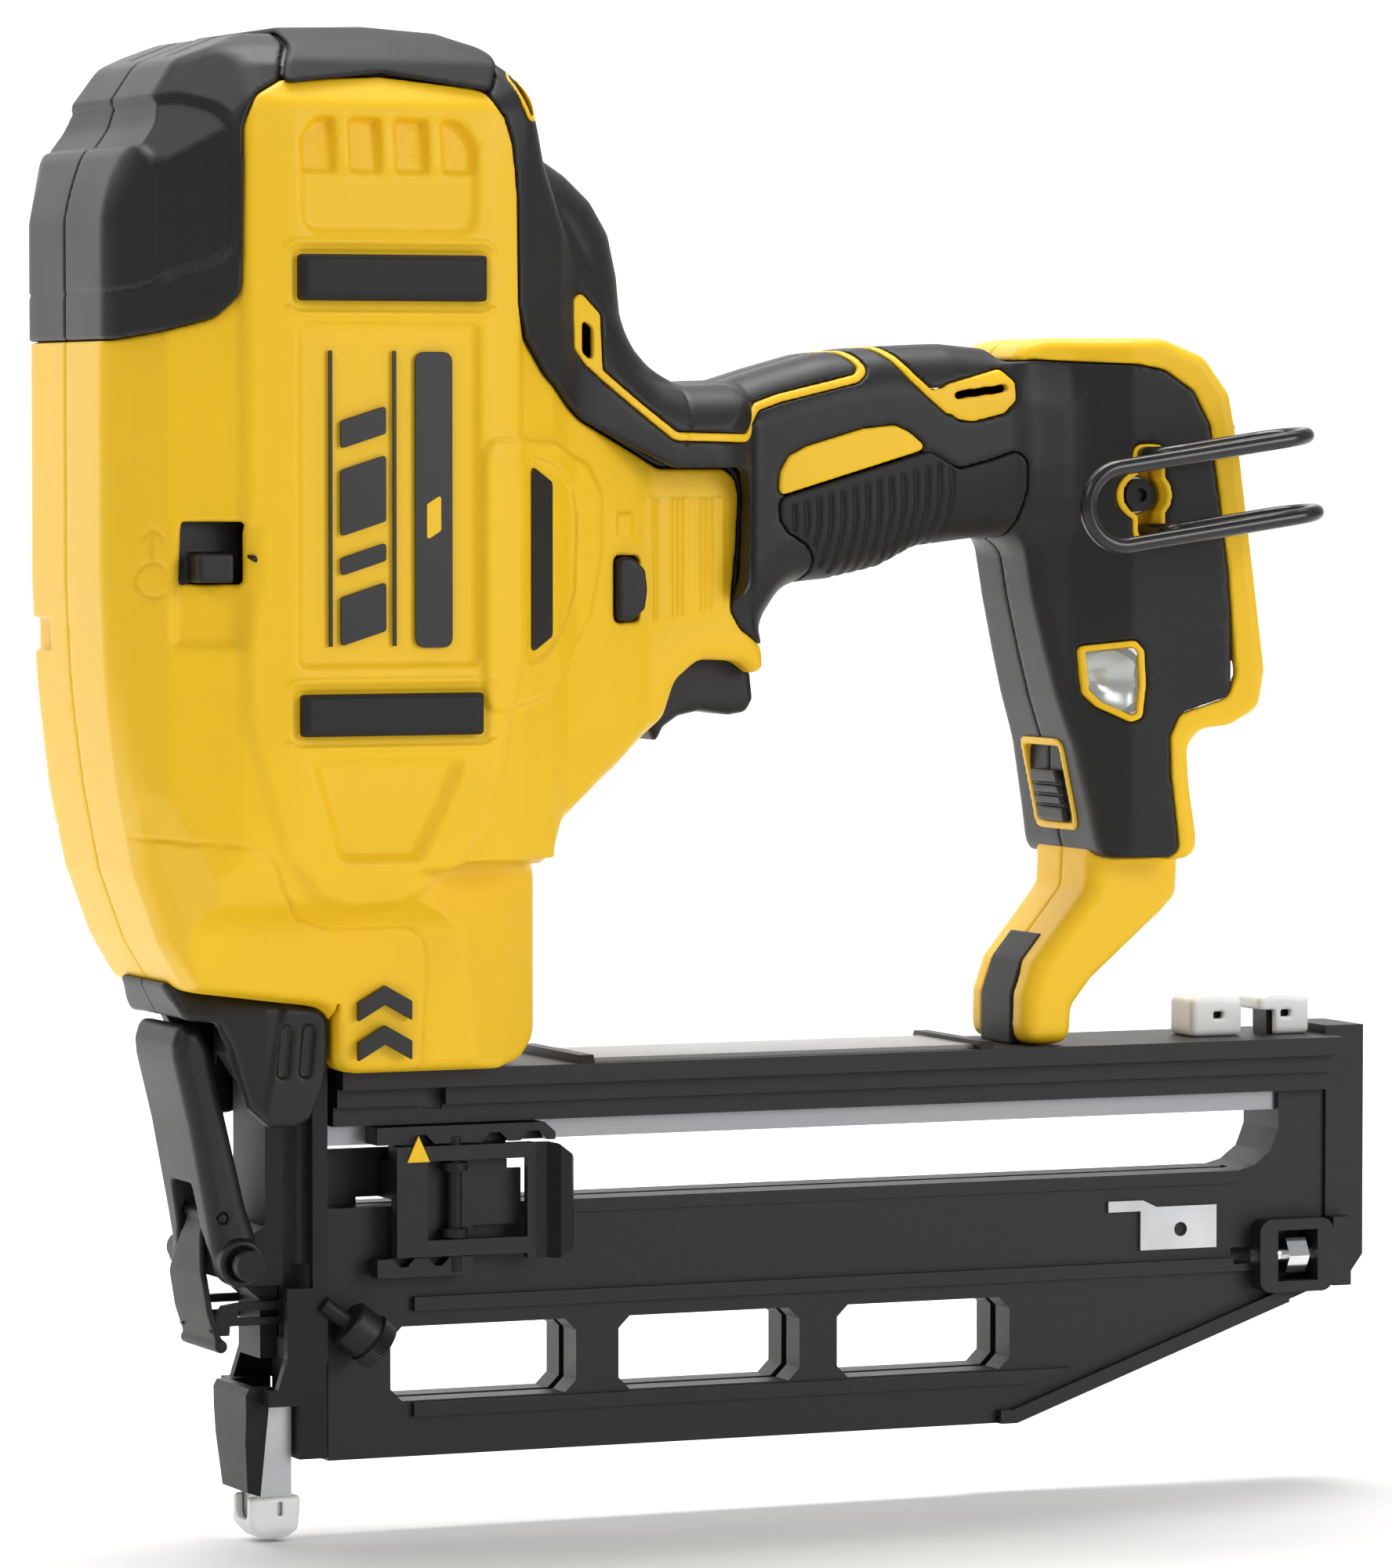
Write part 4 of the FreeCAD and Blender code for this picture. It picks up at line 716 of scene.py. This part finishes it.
def body_field_y(grid):
    """The plain body's field on a grid whose w runs across both halves."""
    half = copy.copy(grid)
    half.w = np.abs(grid.w)
    return body_field(half)


def make_pads():
    vertices, quads = [], []
    for x0, x1, z0, z1 in ((-10.6, 31.2, 263.6, 273.4), (-10.2, 30.4, 173.3, 182.3)):
        grid = Grid((x0 - 1, 44.5, z0 - 1), (x1 + 1, 50, z1 + 1), CRISP)
        bevel = (grid.w - 48.5) * 0.7 + np.maximum(slab(grid.x, x0, x1), slab(grid.z, z0, z1)) * 0.7 + 0.75
        pad = both(both(block(grid, x0, x1, 45.2, 48.5, z0, z1, 0.3), bevel, 0.2),
                   outline(curve([(x0, z0), (x0, z1), (x1, z1), (x1, z0)], 1.2), grid.x, grid.z), 0.3)
        points, faces = mirrored(*skin(pad, grid))
        quads.append(faces + sum(len(done) for done in vertices))
        vertices.append(points)
    mesh_piece("side_pads_part", np.concatenate(vertices), np.concatenate(quads), "rubber", "housing",
               ["side_pads"], 80000)


def prism(name, points, low, high, material, body="housing"):
    """A flat piece of an outline in X and Z, between two Y values, with its edges eased."""
    count = len(points)
    vertices = np.array([(x, y, z) for y in (low, high) for x, z in points], np.float32)
    faces = [list(range(count)), list(range(2 * count - 1, count - 1, -1))]
    faces += [[k, (k + 1) % count, (k + 1) % count + count, k + count] for k in range(count)]
    mesh = bpy.data.meshes.new(name)
    mesh.from_pydata([tuple(v * MM) for v in vertices.astype(float)], [], faces)
    tidy_mesh(mesh)
    piece = bpy.data.objects.new(name, mesh)
    place_object(piece)
    eased = piece.modifiers.new("edges", "BEVEL")
    eased.width, eased.segments, eased.limit_method = MARK_EDGE * MM, 2, "ANGLE"
    eased.angle_limit = math.radians(40)
    finish_piece(piece, material, body)


def tidy_mesh(mesh):
    """Outward normals, and welded points."""
    work = bmesh.new()
    work.from_mesh(mesh)
    bmesh.ops.remove_doubles(work, verts=work.verts, dist=1e-7)
    bmesh.ops.recalc_face_normals(work, faces=work.faces)
    work.to_mesh(mesh)
    work.free()


def make_graphics():
    """Generic marks where the object has its print: slanted blocks, rules and bars, no lettering."""
    for side, sign in (("left", -1), ("right", 1)):
        depth = (sign * (MARK_FACE - 0.2), sign * (MARK_FACE + 0.16))
        marks = {"rule_front": [(-3.6, 192), (-2.7, 192), (-2.7, 253.4), (-3.6, 253.4)],
                 "rule_back": [(10.6, 192), (11.5, 192), (11.5, 253.4), (10.6, 253.4)]}
        low = 192.0
        for k, tall in enumerate((13.4, 7.0, 17.0, 9.0)):
            shape = [(-1.0, low), (9.2, low + 3.2), (9.2, low + tall), (-1.0, low + tall - 3.2)]
            marks[f"block_{k}"] = curve(shape, 0.8)
            low += tall + 1.2
        marks["bar"] = curve([(15.6, 191.6), (15.6, 253.2), (24, 253.2), (24, 191.6)], 2.2)
        for part, points in marks.items():
            prism(f"{side}_{part}", points, *sorted(depth), "graphic_black")
        for k in range(2):
            low = 104.2 + 8.4 * k
            chevron = [(9, low), (15, low + 3.4), (21, low), (21, low + 4), (15, low + 7.4), (9, low + 4)]
            prism(f"{side}_chevron_{k}", chevron, *sorted((sign * (FOOT_FACE - 1.2), sign * (FOOT_FACE + 0.5))),
                  "graphic_black")
        prism(f"{side}_bar_mark", curve([(18.2, 214), (18.2, 221.5), (21.4, 223.5), (21.4, 216)], 0.6),
              *sorted((sign * (MARK_FACE + 0.1), sign * (MARK_FACE + 0.3))), "yellow")


def make_labels():
    """The dark trapezoid beside the handle, laid on the raised panel."""
    grid = Grid((41, 30, 187), (53, 46, 233), FINEST)
    outside = shell_outside(grid)
    edge = curve([(43.6, 229.6), (50, 226), (50, 193.4), (43.6, 190)], 1.0)
    label = both(both(outside - 0.5, -outside - 0.2), outline(edge, grid.x, grid.z), 0.1)
    both_hands("side_labels", label, grid, "graphic_black", ())


make_bumper()
make_pads()
make_graphics()
make_labels()


# ---- controls ----
TRIGGER_PIN = (81.5, 176)                             # X and Z
TRIGGER = curve([
    (86.4, 168.8), (88.4, 172.6), (92, 175), (97, 176), (104, 175), (108, 175.6), (109.6, 178.4),
    (109, 184), (106, 190), (90, 192), (84, 184), (79.2, 179.5), (78.5, 175), (80, 172.6),
    (84.6, 172.6)], 2.2)
LOCK_D = curve([
    (69.6, 196.2), (73.2, 196.2), (76.2, 198.8), (76.7, 203), (76.2, 207.2), (73.2, 209.8),
    (69.6, 209.8)], 1.8)


def make_controls():
    grid = Grid((76, -9.5, 166), (112, 9.5, 194), CRISP)
    lever = both(outline(TRIGGER, grid.x, grid.z), np.abs(grid.w) - 8.0, 2.4)
    lever = without(lever, rod(grid.x, grid.z, *TRIGGER_PIN, 2.06))
    whole("trigger_part", lever, grid, "black", ["trigger"], "trigger", 60000)

    grid = Grid((68, -27, 194.5), (78.5, 21.5, 211.5), CRISP)
    button = both(outline(LOCK_D, grid.x, grid.z), slab(grid.w, -26, 20.5), 0.9)
    whole("lock_off_part", button, grid, "black", ["lock_off_button"], "lock_off", 40000)

    grid = Grid((-37, -46.5, 197), (-17, -32, 224), CRISP)
    plate = block(grid, -34.4, -19, -35.6, -33.8, 200, 222, 0.3)
    post = block(grid, -31.2, -23.4, -43, -35, 205.4, 211.4, 0.6)
    tab = block(grid, -31.2, -18.8, -45.3, -42.4, 205.3, 211.2, 1.1)
    tab = without(tab, (grid.z - 211.2) + (grid.x + 21.5) * 0.8, 0.8)
    whole("stall_lever_part", either(either(plate, post, 0.6), tab, 0.6), grid, "black",
          ["stall_lever"], "stall_lever", 40000)

    grid = Grid((180, -13, 141), (193, 13, 171), CRISP)
    face = both(outline(REAR, grid.x, grid.z), outline(REAR_PLAN, grid.x, np.abs(grid.w)), 3.0)
    frame_edge = curve([(-10.6, 148.2), (-10.6, 168.8), (10.6, 168.8), (10.6, 148.2)], 3.0)
    ring = np.abs(outline(frame_edge, grid.w, grid.z) + 0.9) - 0.9
    frame_piece = both(both(face - 0.5, -face - 2.4), ring, 0.35)
    whole("mode_frame", frame_piece, grid, "yellow", limit=30000)
    knob = both(both(face - 1.5, -face - 4.6), both(np.abs(grid.w) - 6.9, slab(grid.z, 150, 161.6), 1.4), 0.8)
    ridges = np.abs((grid.z - 150) % 2.4 - 1.2) - 0.35
    knob = without(knob, both(ridges, both(-face + 0.6, slab(grid.z, 152.4, 159.6))), 0.2)
    plate = both(np.abs(grid.w) - 10.4, slab(grid.z, 143.6, 168.6), 1.0)
    back = both(both(face + 3.0, -face - 4.4), plate, 0.3)
    whole("mode_switch_part", either(knob, back, 0.3), grid, "black", ["mode_switch"],
          "mode_switch", 40000)


def make_lamps_and_sockets():
    grid = Grid((179, 12, 170), (198, 27, 193), 0.28)
    face = handle_field(grid)
    window = outline(LED_WINDOW, grid.x, grid.z)
    bezel = both(both(face - 0.45, -face - 2.6), np.abs(window + 0.75) - 0.68, 0.3)
    both_hands("led_bezels_part", bezel, grid, "yellow", ["led_bezels"], 60000)
    lens = both(both(face + 0.25, -face - 1.3), window + 1.5, 0.2)
    both_hands("led_lenses_part", lens, grid, "lens", ["led_lenses"], 40000)
    bowl = np.sqrt((grid.x - 188.6) ** 2 + (grid.z - 181.5) ** 2)
    depth = face + 4.6 - 0.055 * bowl * bowl + 0.25 * np.maximum(0, 3.2 - bowl)
    cup = both(np.abs(depth) - 0.5, window + 1.55, 0.1)
    both_hands("led_reflectors", cup, grid, "reflector", (), 40000)

    grid = Grid((188, 11, 208), (205, 28, 238), CRISP)
    face = handle_field(grid)
    edge = np.minimum(outline(SOCKET, grid.x, grid.z), rod(grid.x, grid.z, *SOCKET_SPOT, 6.0))
    lining = both(both(np.abs(edge + 0.6) - 0.55, face - 0.25), 13.5 - grid.w, 0.2)
    screw_hole = rod(grid.x, grid.z, *SOCKET_SPOT, 4.3)
    floor = both(both(edge + 0.1, slab(grid.w, 13.6, 18.1)), -screw_hole, 0.2)
    both_hands("socket_linings", either(lining, floor, 0.4), grid, "yellow", (), 60000)


def make_strap():
    grid = Grid((168, -9, 100), (190, 9, 136), CRISP)
    run = [(172.7, 99), (172.8, 111.8), (175.2, 119.1), (183.2, 128.8), (185.6, 131.6)]
    strap = both(line(curve(run, 4, closed=False), grid.x, grid.z) - 1.3, np.abs(grid.w) - 7.7, 0.5)
    strap = both(strap, both(101.05 - grid.z, grid.z - 125.4))
    whole("strut_strap_part", strap, grid, "rubber", ["strut_strap"], limit=40000)


make_controls()
make_lamps_and_sockets()
make_strap()


# ---- nose ----
COVER = curve([
    (-25.6, 112.9), (-29.4, 120.2), (-28.6, 121), (-24, 119.2), (2.4, 115.2), (4.6, 113), (4.7, 105),
    (3.4, 98), (0.5, 91.5), (-3, 90), (-8, 90), (-12, 94), (-13.8, 100), (-15.6, 106.5),
    (-18.6, 112.4)], 2.2)
COVER_PLAN = curve([(-30, -22), (-30, 13.4), (-27, 15.8), (-20, 18.4), (-9, 20.4), (8, 20.8), (8, -22)], 3)
LEVER = curve([
    (-26.5, 107.4), (-25.2, 111.8), (-20.6, 111), (-18.2, 107), (-17, 101), (-10.4, 73), (-8, 66),
    (-8, 60), (-10, 57), (-14, 56), (-16.8, 58.4), (-18, 64), (-19.4, 72), (-22.8, 90),
    (-26.2, 104)], 2.4)
LEVER_ROOM = curve([
    (-23.9, 106.4), (-22.6, 109), (-20.6, 115), (0, 115), (0, 50), (-14.8, 50), (-15.6, 64), (-17.2, 73),
    (-20.4, 90)], 1.5)
LINK = curve([(-16, 70.5), (-17.6, 66), (-18.9, 58), (-17.6, 50), (-15.3, 43)], 9, closed=False)
DOOR_PIN, LINK_PIN, LINK_FOOT = (-12.5, 61), (-16, 70.5), (-15.3, 42.9)     # X and Z of the cross pins
WHEEL_START, WHEEL_AXIS, WHEEL_SIDES = (11.5, -15.4, 47.475), (0.8, 0.0, -0.6), 112
TEETH, TOOTH = (7, 8), 0.28                           # knurled rows of the wheel, and their depth


def make_nose():
    grid = Grid((-32, -1.5, 88), (7, 24.5, 123), CRISP)
    x, w, z = grid.x, grid.w, grid.z
    lip = 1.8 * ramp(z - 119.6, 5.5)
    crease = 0.9 * ramp(-(x + 9.4 + (z - 97) * -0.19), 1.0)
    pills = np.minimum(line([(-5.6, 101.8), (-4.8, 110.4)], x, z), line([(-0.6, 101.8), (0.2, 110.4)], x, z))
    relief = lip + crease - 1.0 * ramp(pills - 1.7, 0.7) * (w > 15)
    cover = both(outline(COVER, x, z), outline(COVER_PLAN, x, w) - relief, 1.6)
    cover = without(cover, block(grid, -36, -12, -5, 15.4, 80, 113, 1.0), 0.5)
    cover = without(cover, block(grid, -13.5, 10, -5, 17.2, 80, 115.6, 1.0), 0.5)
    cover = without(cover, block(grid, -9, 9.5, -5, 17.2, 80, 125, 1.0), 0.3)
    both_hands("nose_cover_part", both(cover, 0.02 - w), grid, "black", ["nose_cover"], 110000)

    grid = Grid((-36, -17, 54), (-5, 17, 114), CRISP)
    x, w, z = grid.x, np.abs(grid.w), grid.z
    lever = both(outline(LEVER, x, z), w - 14.5, 3.2)
    lever = without(lever, both(outline(LEVER_ROOM, x, z), w - 11.6), 0.5)
    window = both(outline(curve([(-11.7, 40), (-11.7, 59), (-7.4, 68), (-6.4, 77.4), (6.4, 77.4), (7.4, 68),
                                 (11.7, 59), (11.7, 40)], 1.6), grid.w, z), x + 14.6)
    lever = without(lever, window, 0.6)
    boss = both(rod(x, z, *DOOR_PIN, 5.0), slab(w, 11.6, 17.2), 0.6)
    lever = either(lever, boss, 0.8)
    lever = without(without(lever, rod(x, z, *DOOR_PIN, 2.56)), both(rod(x, z, *LINK_PIN, 1.26), w - 14.4))
    lever = without(lever, both(rod(x, z, *DOOR_PIN, 3.5), 15.9 - w), 0.15)
    whole("jam_lever_part", lever, grid, "black", ["jam_lever"], "jam_lever", 110000)

    grid = Grid((-23, -15, 40), (-12, 15, 74), CRISP)
    x, w, z = grid.x, np.abs(grid.w), grid.z
    wide = np.clip(5.7 + (67 - z) * 0.5, 5.7, 10.7)
    sheet = both(line(LINK, x, z) - 0.7, w - wide, 0.4)
    pins = np.minimum(both(rod(x, z, *LINK_PIN, 1.2), w - 14.2, 0.2),
                      both(rod(x, z, *LINK_FOOT, 1.4), w - 11.3, 0.3))
    whole("hook_link_part", either(sheet, pins, 0.5), grid, "painted_steel", ["hook_link"],
          "hook_link", 50000)

    grid = Grid((-9, -8, -1), (7, 8, 12), FINEST)
    x, w, z = grid.x, np.abs(grid.w), grid.z
    side = curve([(-7, 3.6), (-5, 0.9), (-3.4, 0), (2.2, 0), (4.0, 2.2), (4.6, 9), (4.3, 10), (-7, 10)], 1.6)
    end = curve([(-6.2, 10), (-6.1, 2.5), (-3.6, 0), (3.6, 0), (6.1, 2.5), (6.2, 10)], 2.2)
    cup = both(both(outline(side, x, z), outline(end, grid.w, z), 1.2), 0.02 - z)
    cup = without(cup, block(grid, -5.2, 2.6, -5, 5, 3, 20, 0.4), 0.3)
    notch = both(outline(curve([(-3.6, 20), (-3.6, 4.4), (3.6, 4.4), (3.6, 20)], 2.2), grid.w, z), x + 4.6)
    slit = block(grid, -0.9, 0.3, -9, 9, 5.4, 8.4, 0.4)
    cup = without(without(without(cup, notch, 0.4), rod(x, grid.w, 0, 0, 2.3)), slit, 0.2)
    whole("no_mar_tip_part", cup, grid, "pale_polymer", ["no_mar_tip"], "contact_trip", 50000)


def make_wheel():
    """A turned piece: the profile is (distance along the axis, radius), and its TEETH rows are knurled."""
    profile = [(0, 1.9), (0, 4.7), (0.5, 5.2), (5.4, 5.2), (5.6, 5.0), (5.8, 5.0), (6.0, 5.6), (6.2, 5.7),
               (9.0, 5.7), (9.4, 5.3), (9.4, 3.4), (9.0, 3.2), (9.0, 1.9)]
    start, axis = np.array(WHEEL_START), np.array(WHEEL_AXIS)
    side = np.cross(axis, (0.0, 1.0, 0.0))
    side /= np.linalg.norm(side)
    other = np.cross(axis, side)
    rows = []
    for k, (along, radius) in enumerate(profile):
        turn = np.arange(WHEEL_SIDES) * 2 * math.pi / WHEEL_SIDES
        reach = np.full(WHEEL_SIDES, radius)
        if k in TEETH:
            reach = reach - TOOTH * (np.arange(WHEEL_SIDES) % 2)
        rows.append(start + axis * along + side * (np.cos(turn) * reach)[:, None]
                    + other * (np.sin(turn) * reach)[:, None])
    quads = []
    for k in range(len(profile)):
        a, b = k * WHEEL_SIDES, ((k + 1) % len(profile)) * WHEEL_SIDES
        for j in range(WHEEL_SIDES):
            after = (j + 1) % WHEEL_SIDES
            quads.append((a + j, a + after, b + after, b + j))
    wheel = mesh_piece("depth_wheel_part", np.concatenate(rows).astype(np.float32), np.array(quads)[:, ::-1],
                       "black", "depth_wheel", ["depth_wheel"])
    wheel.data.shade_flat()


make_nose()
make_wheel()


# ---- magazine ----
def make_spare_pads():
    for k, middle in enumerate((224.0, 241.0)):
        grid = Grid((middle - 8, -8, 99.5), (middle + 8, 8, 112), CRISP)
        x, w, z = grid.x, grid.w, grid.z
        form = curve([(-6.4, 101), (-6.4, 109.4), (-3.5, 110.4), (1.5, 110.2), (6.4, 109.6), (6.4, 101)], 1.4)
        pad = both(outline(form, x - middle, z), np.abs(w) - 5.9, 1.5)
        pad = both(pad, 101.04 - z)
        pad = without(pad, block(grid, middle - 3.8, middle + 3.8, -3.6, 3.6, 99, 108, 0.4), 0.3)
        pad = without(pad, block(grid, middle - 1.0, middle + 1.6, -9, 9, 105.0, 106.6, 0.3), 0.2)
        pad = without(pad, block(grid, middle + 5.4, middle + 9, -3.0, 3.0, 102, 120, 0.5), 0.3)
        if k:
            pad = without(pad, block(grid, middle - 9, middle - 2.4, -9, 9, 99, 106.6, 0.6), 0.4)
        name = f"spare_pad_{k + 1}"
        whole(name + "_part", pad, grid, "pale_polymer", [name], name, 40000)


def make_pusher_marks():
    prism("pusher_mark", [(25.2, 80.9), (30.4, 80.9), (27.8, 86.6)], -15.7, -15.25, "yellow",
          body="pusher_latch")


make_spare_pads()
make_pusher_marks()


# ---- floor and light ----
def make_stage():
    """A pale floor that curves up into a backdrop, and soft studio light."""
    profile = [(-4.0, 0.0), (1.2, 0.0)]
    for t in np.linspace(0.1, math.pi / 2, 14):
        profile.append((1.2 + 0.9 * math.sin(t), 0.9 - 0.9 * math.cos(t)))
    profile.append((2.1, 4.0))
    vertices = [(x, y, z - 0.0006) for y, z in profile for x in (-5.0, 5.0)]
    faces = [(2 * k, 2 * k + 1, 2 * k + 3, 2 * k + 2) for k in range(len(profile) - 1)]
    mesh = bpy.data.meshes.new("floor")
    mesh.from_pydata(vertices, [], faces)
    mesh.shade_smooth()
    floor = bpy.data.objects.new("floor", mesh)
    place_object(floor)
    mesh.materials.append(surface("floor", (0.86, 0.86, 0.86), 0.7, grain=2.0, grain_depth=0.02, mottle=0.01))
    world = bpy.data.worlds.new("studio")
    world.use_nodes = True
    world.node_tree.nodes["Background"].inputs["Color"].default_value = (1.0, 1.0, 1.0, 1.0)
    world.node_tree.nodes["Background"].inputs["Strength"].default_value = 0.38
    bpy.context.scene.world = world
    bpy.context.scene.view_settings.view_transform = "Standard"
    middle = (0.1, 0.0, 0.16)
    lamps = [((-1.7, -1.1, 1.5), middle, 0.8, 8.0), ((1.2, -1.8, 0.8), middle, 1.0, 18.0),
             ((0.2, 0.3, 1.9), middle, 1.0, 18.0), ((0.0, 0.4, 1.6), (0.0, 2.2, 0.7), 1.5, 55.0)]
    for k, (place, target, size, power) in enumerate(lamps):
        light = bpy.data.lights.new(f"lamp_{k}", "AREA")
        light.size, light.energy = size, power
        lamp = bpy.data.objects.new(f"lamp_{k}", light)
        lamp.location = place
        aim = Vector(target) - lamp.location
        lamp.rotation_mode = "QUATERNION"
        lamp.rotation_quaternion = aim.to_track_quat("-Z", "Y")
        place_object(lamp)


make_stage()
